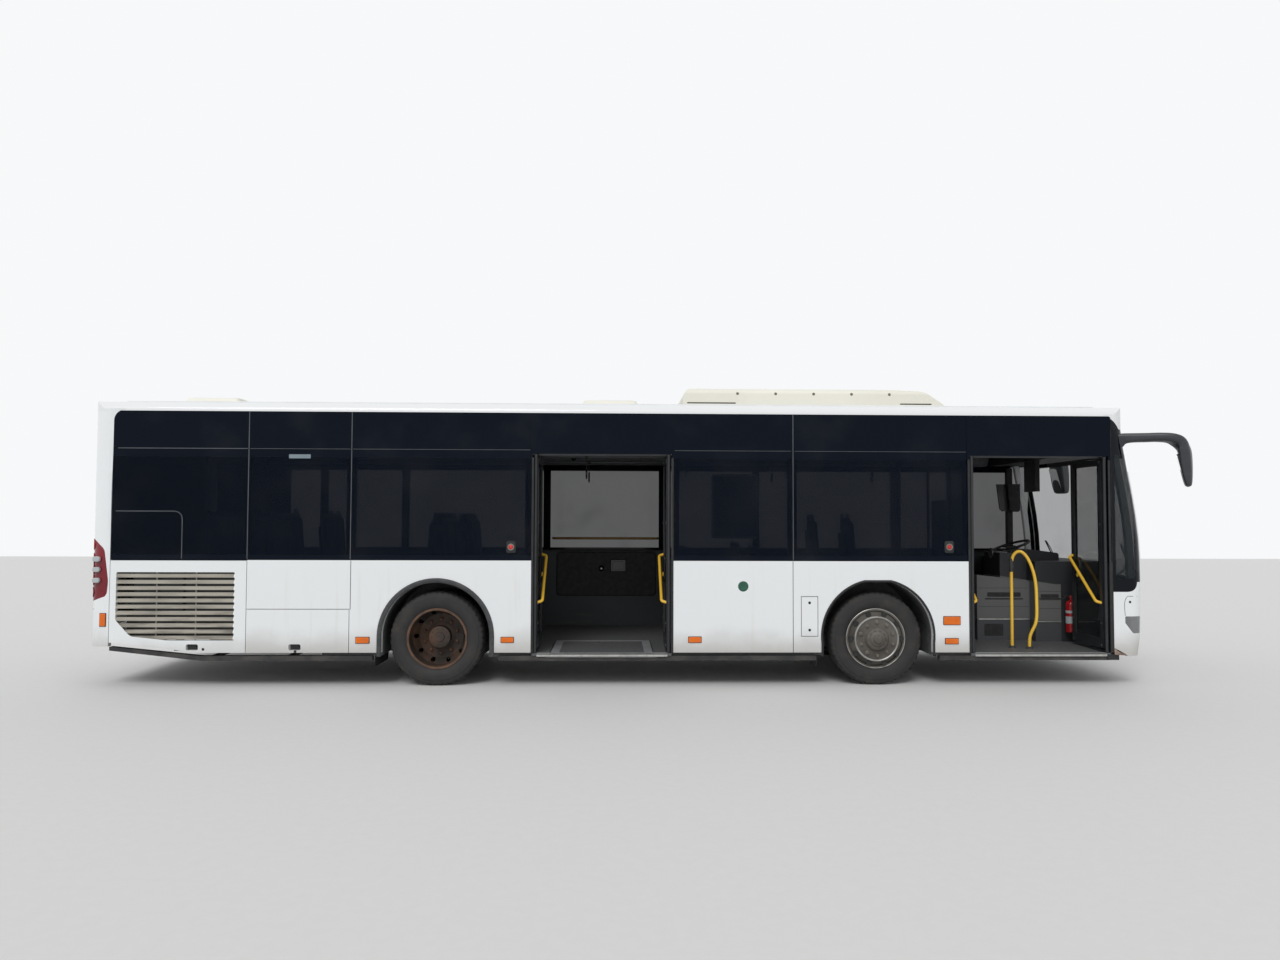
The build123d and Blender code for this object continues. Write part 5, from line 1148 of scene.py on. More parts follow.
# Lamp fins, seams across the corners, the engine flap's fittings, the blank plate and the reflectors.
def makeTail():
    middle, wide = along((tail["finRear"] + tail["finFront"]) / 2), tail["finFront"] - tail["finRear"]
    fins = [bar("right", middle, (high + low) / 2, wide, high - low, -0.030, tail["finProud"], 0.020, 0.006)
            for high, low in tail["fins"]]
    makePiece("tail_lamp_fins", bothSides(fins), "pale")
    makeTailLamps()
    lines = [levelLine("rear_panel tail_lamps", -7.0, (sign * 0.86, sign * 1.235, 16), z, 0.005)
             for sign in (-1, 1) for z in (1.035, 0.760)]
    lines += [levelLine("rear_panel", -7.0, (-1.16, 1.16, 40), z, 0.005) for z in (1.700, 0.520)]
    makePiece("rear_lines", lines, "rubber")
    face = rearSpot("engine_flap", 0.0, 0.95)[0]
    board = facing((face, 0, 0), astern)
    slots, hoods = [], []
    for y in (-0.42, 0.42):
        for z in 0.68 + 0.042 * np.arange(7):
            slots.append(slab(board, y, z, 0.56, 0.022, 0.010, -0.004, 0.0012, 0.001))
            hoods.append(swept([(face, y - 0.285, z), (face, y + 0.285, z)], tail["hood"], astern))
    makePiece("engine_flap_slots", slots, "rubber", "engine_flap")
    makePiece("engine_flap_hoods", hoods, "white", "engine_flap")
    latches = [slab(board, y, 1.265, 0.060, 0.034, 0.012, -0.003, 0.007, 0.003) for y in (-0.62, 0.62)]
    latches.append(slab(board, 0, 0.605, 0.160, 0.030, 0.012, -0.003, 0.010, 0.004))
    hinges = [turned(collar(0, 0.011, -0.05, 0.05), (face - 0.010, y, 1.330), leftward, 16)
              for y in (-0.55, 0.55)]
    makePiece("engine_flap_latches", latches, "blackGloss", "engine_flap")
    makePiece("engine_flap_hinges", hinges, "blackGloss")
    wide, high, z = tail["plate"]
    panel = facing((rearSpot("rear_panel", 0.0, z)[0], 0, 0), astern)
    makePiece("blank_rear_plate", [slab(panel, 0, z, wide, high, 0.010, -0.002, 0.006, 0.0015)], "pale")
    reflectors = [slab(facing(rearSpot("rear_panel", y, 0.62), astern), 0, 0, 0.10, 0.036, 0.006, -0.006,
                       0.006, 0.0015)
                  for y in (-1.02, 1.02)]
    stop = facing(rearSpot("rear_panel roof", 0.0, 2.60), astern)
    reflectors.append(slab(stop, 0, 0, 0.36, 0.030, 0.010, -0.006, 0.010, 0.003))
    makePiece("rear_reflectors", reflectors, "red")
    frame = softRectangle(0, 2.13, 1.945, 0.685, 0.075, 7)
    spots = [rearSpot("rear_window rear_panel", y, z) for y, z in frame]
    makePiece("rear_window_rubber", [swept(spots, bead(0.014, -0.004, 0.010, 0.006), astern, True)], "rubber")


makeTail()
print("tail made")

roofFit = {
    "podRear": rearEnd + 5.890, "podFront": rearEnd + 8.617, "podTop": 3.062,
    "fans": 3, "firstFan": 0.560, "fanStep": 0.680, "fanFoot": -0.0295, "blades": 7,
    "screw": ((0, 0.0035), (0.006, 0.0035), (0.008, 0.002), (0.013, 0.0025), (0.015, 0.0), (0.015, -0.004)),
    "blade": ((-0.040, -0.008), (-0.038, -0.0095), (0.040, 0.006), (0.038, 0.0075)),
    "hatches": ((-5.000, -4.396), (-0.680, -0.060)),
}


# One fan: the floor of its well, a hub with blades, and a guard of rings and crossing bars over it.
def makeFan(spot):
    foot = roofFit["fanFoot"]
    floor = turned([(0, foot + 0.001), (0.2075, foot + 0.001), (0.2085, foot - 0.003), (0, foot - 0.003)],
                   spot, up, 48)
    hub = turned([(0, foot), (0.055, foot), (0.058, foot + 0.016), (0.045, foot + 0.020), (0, foot + 0.021)],
                 spot, up, 28)
    blades, guard = [], []
    for turn in circleTurns(roofFit["blades"]):
        reach = np.array((math.cos(turn), math.sin(turn), 0))
        rows = spot + np.array((0, 0, foot + 0.012)) + reach * np.linspace(0.050, 0.196, 6)[:, None]
        blades.append(swept(rows, roofFit["blade"]))
    for r in np.linspace(0.045, 0.213, 8):
        guard.append(turned([(r - 0.003, -0.002), (r - 0.002, 0.003), (r + 0.002, 0.003), (r + 0.003, -0.002)],
                            spot, up, 40))
    for turn in np.arange(4) * math.pi / 4:
        reach = np.array((math.cos(turn), math.sin(turn), 0)) * 0.216
        guard.append(swept([spot - reach + (0, 0, 0.003), spot + reach + (0, 0, 0.003)],
                           softBar(0.007, 0.006, 0.002)))
    return floor, hub, blades, guard


# Roof: screws and slits on the pod's sides, its fans, hatch frames and hinges, and side gutters.
def makeRoof():
    screws, slits, gutters, frames, hinges = [], [], [], [], []
    for x in (roofFit["podRear"] + roofFit["podFront"]) / 2 + 0.397 * np.arange(-2, 3):
        for sign in (-1, 1):
            spot = onSkin("air_conditioning_unit", (x, sign * 2.0, 2.965), (0, -sign, 0))
            screws.append(turned(roofFit["screw"], spot, (0, sign, 0), 18))
    for sign in (-1, 1):
        for low, high in ((0.045, 0.550), (2.270, 2.600)):
            starts = [(roofFit["podRear"] + x, sign * 2.0, 2.866) for x in np.linspace(low, high, 12)]
            slits.append(skinLine("air_conditioning_unit", starts, (0, -sign, 0), 0.012, 0.001))
        starts = [(x, sign * 1.12, 4.0) for x in np.linspace(-5.2, 4.6, 60)]
        gutters.append(skinLine("roof", starts, down, 0.022, 0.010))
    places = roofFit["podRear"] + roofFit["firstFan"] + roofFit["fanStep"] * np.arange(roofFit["fans"])
    fans = [makeFan(np.array((x, 0.0, roofFit["podTop"]))) for x in places]
    makePiece("pod_fans", [part for fan in fans for part in fan[2]], "strap")
    makePiece("pod_screws", screws, "dustySteel")
    makePiece("pod_fan_wells", [fan[0] for fan in fans], "rubber")
    makePiece("pod_dark_parts", slits + [fan[1] for fan in fans], "rubber")
    makePiece("pod_fan_guards", [part for fan in fans for part in fan[3]], "pale")
    for low, high in roofFit["hatches"]:
        middle = (low + high) / 2
        top = onSkin("roof_hatches", (middle, 0, 4.0), down)[2]
        outline = softRectangle(middle, 0, high - low - 0.10, 0.56, 0.06, 6)
        frames.append(swept(np.insert(outline, 2, top, 1), bead(0.016, -0.003, 0.010, 0.007), up, True))
        hinges += [bar("top", middle + 0.22, y, 0.030, 0.08, top - 0.002, top + 0.012, 0.01, 0.004)
                   for y in (-0.18, 0.18)]
    makePiece("hatch_ribs", frames, "white")
    makePiece("hatch_hinges", hinges, "blackGloss")
    makePiece("roof_gutters", gutters, "white")


makeRoof()
print("roof made")

under = {"tanks": ((-3.50, 0.76), (-3.50, 1.02), (-3.50, -0.76)), "tankRadius": 0.095, "tankHalf": 0.270,
         "tankZ": 0.43,
         "silencer": (-4.86, -4.855, -4.36, -4.355), "silencerMiddle": (0.78, 0.50),
         "pipe": ((-4.84, 0.80, 0.47), (-5.05, 0.84, 0.44), (-5.20, 0.90, 0.37), (-5.42, 0.90, 0.355))}


# Below the podium: air tanks in their straps, and the silencer with its pipe.
def makeUnderbody():
    steel, tanks = [], []
    r, h = under["tankRadius"], under["tankHalf"]
    end = [(0, -h), (r * 0.5, -h + 0.004), (r * 0.85, -h + 0.020), (r, -h + 0.055)]
    for x, y in under["tanks"]:
        spot = (x, y, under["tankZ"])
        tanks.append(turned(end + [(a, -b) for a, b in end[::-1]], spot, ahead, 32))
        steel += [turned(collar(r + 0.001, r + 0.004, dx - 0.014, dx + 0.014), spot, ahead, 32)
                  for dx in (-0.14, 0.14)]
    middle = under["silencerMiddle"]
    points, blocks = swept([(x, *middle) for x in under["silencer"]], softRectangle(0, 0, 0.40, 0.23, 0.11, 8))
    points = points.reshape(4, -1, 3)
    points[[0, 3], :, 1:] = (points[[0, 3], :, 1:] - middle) * 0.95 + middle
    steel += [(points.reshape(-1, 3), blocks), tube(under["pipe"], 0.045, 0.12, 20)]
    makePiece("silencer_and_straps", steel, "dustySteel")
    makePiece("air_tanks", tanks, "chassis_grey")


makeUnderbody()
print("underbody made")

lining = {
    "depth": 1.2135, "thin": 0.0015, "sill": 1.262, "archHalf": 0.600, "archTop": 1.062,
    # x from, x to, and the foot of the wall there; the last rows are for the left side
    "spans": ((-5.05, -3.180, 0.727), (-3.180, rearAxle - 0.600, 0.327),
              (rearAxle + 0.600, along(4.336), 0.327), (along(5.755), frontAxle - 0.600, 0.327),
              (frontAxle + 0.600, along(8.700), 0.327)),
    "leftSpans": ((along(4.334), along(5.757), 0.327), (along(8.698), 4.650, 0.515)),
}


# Dark lining of the walls below the windows, a ledge along the top, and the pieces over the wheel boxes.
def makeLining():
    sheets, ledges = [], []
    sill, thin, reach = lining["sill"], lining["thin"], lining["archHalf"]
    arches = tuple((axle - reach, axle + reach, lining["archTop"]) for axle in (rearAxle, frontAxle))
    for side, sign in sides:
        face = facing((0, sign * lining["depth"], 0), (0, -sign, 0))
        for low, high, foot in lining["spans"] + (lining["leftSpans"] if sign > 0 else ()) + arches:
            x, wide = (low + high) / 2, high - low
            middle, tall = (foot + sill) / 2, sill - foot
            sheets.append(slab(face, x, middle, wide, tall, 0.002, -thin, thin * 2, 0.0005, 2))
            ledges.append(slab(face, x, 1.266, wide, 0.018, 0.008, -0.001, 0.022, 0.004, 3))
    # the jamb ahead of the front doorway
    jamb = facing((4.684, 0, 0), astern)
    sheets.append(slab(jamb, -1.140, 1.322, 0.236, 1.980, 0.002, -0.012, 0.0, 0.0005, 2))
    makePiece("wall_lining", sheets, "lining")
    makePiece("window_ledges", ledges, "strap")


bay = {"rail": (4.400, 5.700, 1.100, 1.418), "socket": (5.000, 1.042, 0.036), "wallY": 1.2105, "restY": 1.1805,
       "box": (5.210, 1.078, 0.190, 0.150),
       "push": ((0, 0.022), (0.010, 0.021), (0.014, 0.017), (0.014, 0.010), (0, 0.010))}
farWall = facing((0, bay["wallY"], 0), rightward)


# Left wall across from the middle doorway: a padded rest, a yellow rail, a socket and a button box.
def makeBay():
    low, high, y, z = bay["rail"]
    rows = [(along(low), 1.205, z), (along(low), y, z), (along(high), y, z), (along(high), 1.205, z)]
    makePiece("bay_rail", [tube(rows, 0.0150, 0.05, 16)], "dullYellow")
    middle = (along(4.42) + along(5.70)) / 2
    rest = slab(farWall, middle, 0.975, 1.24, 0.545, 0.045, 0.0, 0.030, 0.010, 6)
    makePiece("bay_rest", [rest], "strap")
    s, z, r = bay["socket"]
    spot = (along(s), bay["restY"], z)
    profile = [(0, 0.010), (r * 0.45, 0.010), (r * 0.55, 0.016), (r * 0.62, 0.012), (r, 0.006), (r, -0.004),
               (0, -0.004)]
    s, z, wide, high = bay["box"]
    inner = facing((0, bay["restY"], 0), rightward)
    box = slab(inner, along(s), z, wide, high, 0.016, 0.0, 0.028, 0.006)
    lid = slab(inner, along(s), z, wide - 0.045, high - 0.045, 0.012, 0.026, 0.034, 0.003)
    makePiece("bay_fittings", [turned(profile, spot, rightward, 28), box, lid], "blackGloss")
    makePiece("bay_push", [turned(bay["push"], spot, rightward, 20)], "brightSteel")


rails = {
    "y": 0.520, "z": 2.330, "rear": -3.578, "front": 3.420, "radius": 0.0158, "poleTop": 2.800,
    # x of the poles on the right, on the left, and of the short hangers on both sides
    "rightPoles": (rearAxle + 0.860, rearAxle + 2.420, frontAxle + 0.760),
    "leftPoles": (rearAxle + 0.860, frontAxle + 0.760),
    "hangers": (rearAxle - 1.400, rearAxle, frontAxle - 1.300), "straps": (-0.62, 0.45, 1.55, 2.75),
    "ring": ((0.0158, -0.040), (0.0215, -0.036), (0.0225, -0.020), (0.0225, 0.020), (0.0215, 0.036),
             (0.0158, 0.040)),
    "flange": ((0.0158, 0.020), (0.020, 0.014), (0.034, 0.005), (0.038, 0.0), (0.0158, 0.0)),
    # x and height of the bent pole beside the front doorway
    "bent": ((3.847, 0.332), (3.847, 0.600), (3.847, 0.900), (3.847, 1.120), (3.850, 1.220), (3.866, 1.290),
             (3.900, 1.330), (3.940, 1.326), (3.982, 1.272), (4.018, 1.180), (4.043, 1.070), (4.055, 0.950),
             (4.058, 0.800), (4.057, 0.680), (4.046, 0.590), (4.018, 0.515), (4.000, 0.460), (3.994, 0.400),
             (3.993, 0.332)),
    "bentY": (-0.850, -0.970), "sleeve": (1.120, 1.262), "feet": ((3.847, -0.850), (3.993, -0.934)),
    "foot": ((0.0165, 0.022), (0.022, 0.018), (0.036, 0.006), (0.040, 0.0), (0.0165, 0.0)),
}


# Ceiling rails on hangers, with poles to the floor, sockets at every joint and straps with rounded grips.
def makeRails():
    parts, joints, straps, grips = [], [], [], []
    z, r = rails["z"], rails["radius"]
    for side, sign in sides:
        y, poles = sign * rails["y"], rails[side + "Poles"]
        uprights = poles + rails["hangers"]
        parts.append(tube([(rails["rear"], y, z), (0, y, z), (rails["front"], y, z)], r, 0.01, 16))
        for x in uprights:
            foot = floorTop if x in poles else z
            parts.append(turned(collar(0, r, foot, rails["poleTop"]), (x, y, 0), up, 16))
            joints.append(turned(rails["ring"], (x, y, z), ahead, 16))
            if foot == floorTop:
                joints.append(turned(rails["flange"], (x, y, floorTop), up, 20))
        for x in rails["straps"]:
            if min(abs(x - pole) for pole in uprights) < 0.09:
                continue
            straps.append(turned(collar(0.0162, 0.0215, -0.017, 0.017), (x, y, z), ahead, 16))
            straps.append(swept([(x, y, 2.312), (x, y, 2.26), (x, y, 2.195)], softBar(0.006, 0.026, 0.002),
                                leftward))
            loop = softRectangle(0, 0, 0.105, 0.110, 0.045, 6) + (0, 2.150)
            grips.append(swept(np.insert(loop + (y, 0), 0, x, 1), ringOutline(0.0085, 8), ahead, True))
    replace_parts(makePiece("ceiling_rails", parts, "railGrey"), "grab_rails")
    makePiece("rail_sockets", joints, "blackGloss")
    makePiece("hanging_straps", straps, "strap")
    makePiece("strap_grips", grips, "blackGloss")
    rows, (near, far) = np.array(rails["bent"]), rails["bentY"]
    t = np.clip((rows[:, 0] - rows[0, 0]) / 0.21, 0, 1)
    path = smoothRows(np.column_stack((rows[:, 0], near + t * (far - near), rows[:, 1])), 5)
    makePiece("entrance_pole", [swept(path, ringOutline(0.0165, 18), (0.2, 1, 0))], "handYellow")
    low, high = rails["sleeve"]
    sleeve = [(0.0168, low), (0.0225, low + 0.003), (0.0225, high - 0.05), (0.0200, high - 0.01),
              (0.0168, high)]
    feet = [turned(rails["foot"], (*spot, floorTop), up, 24) for spot in rails["feet"]]
    makePiece("entrance_pole_sleeve", [turned(sleeve, (*rails["feet"][0], 0), up, 20)] + feet, "strap")


# An aluminium frame round a plain grey sheet, on the far side's windows.
def makePoster():
    ring = softRectangle(1.194, 1.822, 0.560, 0.780, 0.012, 4)
    edge = swept(np.insert(ring, 1, bay["wallY"], 1), bead(0.014, 0.0, 0.012, 0.010), rightward, True)
    makePiece("poster_frame", [edge], "aluminium")
    makePiece("poster_sheet", [slab(farWall, 1.194, 1.822, 0.548, 0.768, 0.006, 0.0, 0.004, 0.001, 3)],
              "dimPale")


makeLining()
makePoster()
makeBay()
makeRails()
print("rails and lining made")

doors = {
    "low": 0.372, "high": 2.280, "sillMiddle": 0.308, "openings": ((4.395, 5.690), (8.775, 10.110)),
    "seal": ((-0.018, -0.003), (0.018, -0.003), (0.015, 0.006), (0.004, 0.0095), (-0.004, 0.0095),
             (-0.015, 0.006)),
    "push": ((0, 0.034), (0.012, 0.0335), (0.020, 0.031), (0.026, 0.022), (0.026, 0.012), (0, 0.012)),
    "bolt": ((0, 0.009), (0.004, 0.009), (0.006, 0.007), (0.006, 0.0), (0, 0.0)),
    "bolts": (0.40, 0.62, 1.62, 2.255),
}


# Door leaves: rubber edges, a button plate with a yellow push, and bolts along the frame.
def makeLeafTrim():
    for name in doorLeaves:
        (low, high), x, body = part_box(name + "_glass"), middleX(name + "_glass"), name + "_leaf"
        inward = 1 if name.endswith("rear") else -1
        out = (inward, 0, 0)
        edge = [(x, high.y + 0.056 + 0.001, z) for z in np.linspace(doors["low"], doors["high"], 3)]
        wide, tall = high.y - low.y - 0.006, high.z - low.z - 0.006
        ring = softRectangle((low.y + high.y) / 2, (low.z + high.z) / 2, wide, tall, 0.020, 4)
        rubbers = [swept(edge, doors["seal"], leftward)]
        rubbers += [swept(np.insert(ring, 0, x + dx, 1), softBar(0.010, 0.012, 0.004), ahead, True)
                    for dx in (-0.009, 0.009)]
        makePiece(name + "_rubbers", rubbers, "rubber", body)
        y, near = high.y - 0.085, x + inward * 0.004
        board = slab(facing((near, 0, 0), out), y, 1.135, 0.105, 0.265, 0.034, -0.002, 0.024, 0.006, 6)
        makePiece(name + "_button_plate", [board], "blackGloss", body)
        makePiece(name + "_push", [turned(doors["push"], (near, y, 1.082), out, 28)], "handYellow", body)
        bolts = [turned(doors["bolt"], (x + inward * 0.022, edge, z), out, 12)
                 for edge in (low.y - 0.028, high.y + 0.028) for z in doors["bolts"]]
        makePiece(name + "_bolts", bolts, "dustySteel", body)


# Doorways: bright sill strips, dark jamb rubbers, grooved headers inside, and treads on the floor's edge.
def makeDoorways():
    sills, rubbers, headers = [], [], []
    for low, high in doors["openings"]:
        middle, wide = (along(low) + along(high)) / 2, high - low
        sills.append(bar("right", middle, doors["sillMiddle"], wide, 0.020, -0.002, 0.0035, 0.002))
        sills += [bar("top", middle, -1.263 + 0.010 * row, wide, 0.0055, floorTop - 0.001, floorTop + 0.0018,
                      0.002)
                  for row in range(3)]
        rubbers += [bar("right", along(s), 1.300, 0.022, 1.94, -0.002, 0.004, 0.006)
                    for s in (low - 0.048, high + 0.048)]
        for row in range(4):
            ends = [(along(s), -1.196 + 0.010 * row, 2.315 + 0.055 * row) for s in (low, high)]
            headers.append(swept(ends, softBar(0.012, 0.044, 0.005)))
    makePiece("sill_strips", sills, "aluminium")
    # dark filling of the joint ahead of the front doorway, and the frame's end below it
    rubbers.append(bar("right", 4.706, 1.480, 0.034, 2.280, -0.014, -0.003, 0.004))
    rubbers.append(bar("right", along(10.175), 0.289, 0.120, 0.056, -0.040, -0.002, 0.004))
    makePiece("jamb_rubbers", rubbers, "rubber")
    makePiece("door_headers", headers, "railGrey")


# Ramp: a pale frame round a dark mat and a slot with a pull, all lying on the folded plate.
def makeRampTrim():
    low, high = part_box("ramp")
    x0, x1, y0, y1, top = low.x + 0.006, high.x - 0.006, low.y + 0.004, high.y - 0.004, high.z
    x, y, wide, deep = (x0 + x1) / 2, (y0 + y1) / 2, x1 - x0, y1 - y0
    frame = [bar("top", *row, top - 0.0005, top + 0.0016, 0.003, 0.0006) for row in
             ((x, y0 + 0.020, wide, 0.040), (x, y1 - 0.040, wide, 0.080), (x0 + 0.042, y, 0.084, deep - 0.124),
              (x1 - 0.042, y, 0.084, deep - 0.124))]
    mat = bar("top", x, y - 0.020, wide - 0.176, deep - 0.130, top - 0.0005, top + 0.0012, 0.004, 0.0005)
    slot = bar("top", x + 0.03, y1 - 0.150, 0.160, 0.034, top, top + 0.0017, 0.016, 0.0005)
    pull = bar("top", x + 0.03, y1 - 0.150, 0.120, 0.012, top + 0.0012, top + 0.0026, 0.005, 0.0006)
    for name, parts, look in (("frame", frame, "rampFrame"), ("mat", [mat], "floor_grey"),
                              ("slot", [slot], "rubber"), ("pull", [pull], "brightSteel")):
        makePiece("ramp_" + name, parts, look, "ramp")


makeLeafTrim()
makeDoorways()
makeRampTrim()
print("doorways dressed")

cab = {
    "side": -0.2205, "deskSide": -0.3705, "stripZ": 0.560,
    "slot": (4.022, 0.832, 0.378, 0.050), "pull": (4.470, 0.828, 0.205, 0.040),
    "grille": (3.905, 0.442, 0.212, 0.132),
    # outline of the monitor and of its screen, as x and height
    "monitor": ((4.602, 1.790), (4.622, 1.764), (4.715, 1.764), (4.735, 1.790), (4.735, 2.110),
                (4.575, 2.110)),
    "screen": ((4.503, 1.800), (4.535, 1.768), (4.590, 1.772), (4.604, 1.800), (4.578, 2.108), (4.465, 2.108)),
    "dial": ((0, 0.003), (0.052, 0.003), (0.056, 0.006), (0.060, 0.004), (0.060, -0.004), (0, -0.004)),
    "extinguisher": (4.675, -0.431, 0.437), "bottleRadius": 0.0556, "bands": ((0.100, 0.176), (0.212, 0.240)),
    "head": ((0, 0.371), (0.020, 0.371), (0.023, 0.385), (0.018, 0.402), (0, 0.404)),
    "lever": ((-0.012, 0, 0.834), (-0.055, 0.005, 0.842), (-0.075, 0.01, 0.80)),
    "hose": ((0.01, 0, 0.825), (0.052, 0.006, 0.815), (0.068, 0.008, 0.70), (0.064, 0.008, 0.58)),
}


# Driver's place: the cabinet's slot, pull, grille and strips, and the monitor on its post.
def makeCabinet():
    side, desk = (facing((0, cab[name], 0), rightward) for name in ("side", "deskSide"))
    (slotX, slotZ, slotWide), (x, z, wide, high) = cab["slot"][:3], cab["pull"]
    dark = [slab(side, *cab["slot"], 0.012, -0.004, 0.0015, 0.001),
            slab(desk, *cab["pull"], 0.014, -0.004, 0.0015, 0.001),
            slab(side, *cab["grille"], 0.008, -0.002, 0.002, 0.001)]
    dark += [slab(side, 4.015, height, 0.57, 0.0035, 0.001, -0.001, 0.0008, 0.0004, 2)
             for height in (0.700, 0.905)]
    dark += [slab(desk, 4.455, height, 0.28, 0.0035, 0.001, -0.001, 0.0008, 0.0004, 2)
             for height in (0.690, 0.880)]
    grey = [slab(desk, x, z - high * 0.65, wide + 0.03, 0.014, 0.006, -0.002, 0.016, 0.005),
            slab(side, slotX, slotZ - 0.045, slotWide + 0.05, 0.012, 0.005, -0.002, 0.010, 0.004)]
    x, z, wide, high = cab["grille"]
    rib = slab(side, x - wide / 2 + 0.012, z, 0.006, high - 0.014, 0.002, 0, 0.006, 0.001, 3)
    grey.append(repeated(rib, [(0.0175 * k, 0, 0) for k in range(12)]))
    strips = [slab(side, 4.020, cab["stripZ"], 0.575, 0.014, 0.004, -0.001, 0.006, 0.002, 3),
              slab(desk, 4.455, cab["stripZ"] - 0.012, 0.285, 0.014, 0.004, -0.001, 0.006, 0.002, 3)]
    makePiece("cabinet_slots", dark, "rubber")
    makePiece("cabinet_pulls", grey, "strap")
    makePiece("cabinet_strips", strips, "aluminium")
    wall = facing((0, 1.130, 0), rightward)
    post = slab(farWall, 4.673, 1.765, 0.074, 1.10, 0.010, 0, 0.060, 0.006, 3)
    arm = swept([(4.69, 1.16, 2.0), (4.69, 1.05, 2.0)], softBar(0.05, 0.05, 0.01))
    makePiece("monitor_body", [plate(wall, cab["monitor"], 0, 0.150, 0.006), post, arm], "strap")
    makePiece("monitor_screen", [plate(wall, cab["screen"], 0.050, 0.075, 0.004)], "screenGrey")


# The till's keys and face, the switches on the dashboard, the instruments' rims and the fire extinguisher.
def makeCab():
    makeCabinet()
    till, dash = (onSkin("cab_console", (x, y, 2.0), down)[2] for x, y in ((4.16, 0.08), (4.46, 1.00)))
    keys = [bar("top", 4.08 + 0.030 * row, 0.00 + 0.034 * column, 0.020, 0.024, till - 0.002, till + 0.007,
                0.004, 0.002)
            for row in range(3) for column in range(5)]
    keys += [bar("top", 4.40 + 0.055 * row, 0.46 - 0.055 * column + 0.42, 0.034, 0.040, dash - 0.002,
                 dash + 0.008, 0.006, 0.003) for row in range(2) for column in range(7)]
    makePiece("switch_keys", keys, "pale")
    makePiece("till_face", [bar("top", 4.22, 0.075, 0.090, 0.200, till - 0.002, till + 0.018, 0.014, 0.006)],
              "blackGloss")
    dials = [turned(cab["dial"], onSkin("cab_console", (3.0, y, 1.283), ahead), astern, 32)
             for y in (0.10, 0.28)]
    makePiece("instrument_rims", dials, "brightSteel")
    x, y, z = cab["extinguisher"]
    r = cab["bottleRadius"]
    bands = [turned(collar(r - 0.001, r + 0.0008, *ends), (x, y, z), up, 40) for ends in cab["bands"]]
    makePiece("extinguisher_bands", bands, "pale")
    lever, hose = ([(x + a, y + b, c) for a, b, c in cab[name]] for name in ("lever", "hose"))
    head = [turned(cab["head"], (x, y, z), up, 20), tube(lever, 0.007, 0.03, 10), tube(hose, 0.0075, 0.05, 10)]
    makePiece("extinguisher_head", head, "rubber")


makeCab()
print("cab dressed")


# Ceiling: lamp strips along the ducts, and round air nozzles above and below them.
def makeCeiling():
    strips, nozzles = [], []
    profile = [(0, 0.004), (0.012, 0.004), (0.016, 0.010), (0.024, 0.010), (0.028, 0.002), (0.028, -0.006),
               (0, -0.006)]
    for sign in (-1, 1):
        for low in (-4.4 + 1.44 * k for k in range(6)):
            starts = [(x, sign * 0.40, 2.475) for x in np.linspace(low, low + 1.38, 8)]
            strips.append(skinLine("ceiling_ducts", starts, (0, sign, 0), 0.075, 0.008))
        for x in np.arange(-3.7, 4.0, 1.44):
            for dz in (-0.075, 0.105):
                spot = onSkin("ceiling_ducts", (x, sign * 0.40, 2.475 + dz), (0, sign, 0))
                if spot is not None:
                    nozzles.append(turned(profile, spot, (0, -sign, 0.2), 24))
    makePiece("ceiling_lamps", strips, "lightPanel")
    makePiece("air_nozzles", nozzles, "blackGloss")


makeCeiling()
print("ceiling dressed")

seat = {
    "half": 0.198, "cushionRear": 0.022, "cushionFront": 0.424, "pan": 0.015, "cushionHigh": 0.046,
    "cap": 0.011, "backLow": 0.083, "backHigh": 0.592, "backThick": 0.030, "backCap": 0.009,
    "sheet": 0.014, "lean": 0.0808,
    "voxel": 0.006, "pressure": 4, "frames": 20, "triangles": 3200,
    # x, height of the floor below, height of the pan, places across, turned to the rear
    "rows": ((-4.475, 0.725, 0.330, (-0.9, -0.45, 0, 0.45, 0.9), False),
             (-3.685, 0.725, 0.360, (-1, -0.585, 0.585, 1), False),
             (-2.158, 1.045, 0, (-1, -0.585, 0.585, 1), True),
             (-1.998, 1.045, 0, (-1, -0.585, 0.585, 1), False),
             (0.442, 0.330, 0.380, (-1, -0.585, 0.585, 1), False),
             (1.182, 0.330, 0.380, (-1, -0.585, 0.585, 1), False), (2.120, 1.055, 0, (-0.8877, 0.8877), False),
             (3.820, 0.510, 0.300, (0.640,), False)),
    "handle": ((-0.036, 0, 0.545), (-0.040, 0, 0.665), (-0.040, 0.095, 0.665), (-0.036, 0.095, 0.545)),
    "cover": ((-0.046, 0, 0.120), (-0.058, 0, 0.300), (-0.070, 0, 0.470)),
}


# Pad block: a rounded rectangle stacked in height, drawn in at its edges and closed towards its middle.
def padBlock(long, wide, high, corner):
    outline = softRectangle(0, 0, long, wide, corner, 7)
    turn = np.linspace(-math.pi / 2, math.pi / 2, 9)
    edge = high / 2
    rows = [np.insert(outline * f, 2, 0.0, 1) for f in (0.01, 0.4, 0.8)]
    rows += [np.insert(shrunk(outline, edge * (1 - np.cos(t))), 2, edge + edge * np.sin(t), 1) for t in turn]
    rows += [np.insert(outline * f, 2, high, 1) for f in (0.8, 0.4, 0.01)]
    return np.concatenate(rows), gridFaces(len(rows), len(outline))


def readPoints(mesh):
    points = np.empty(len(mesh.vertices) * 3)
    mesh.vertices.foreach_get("co", points)
    return points.reshape(-1, 3)


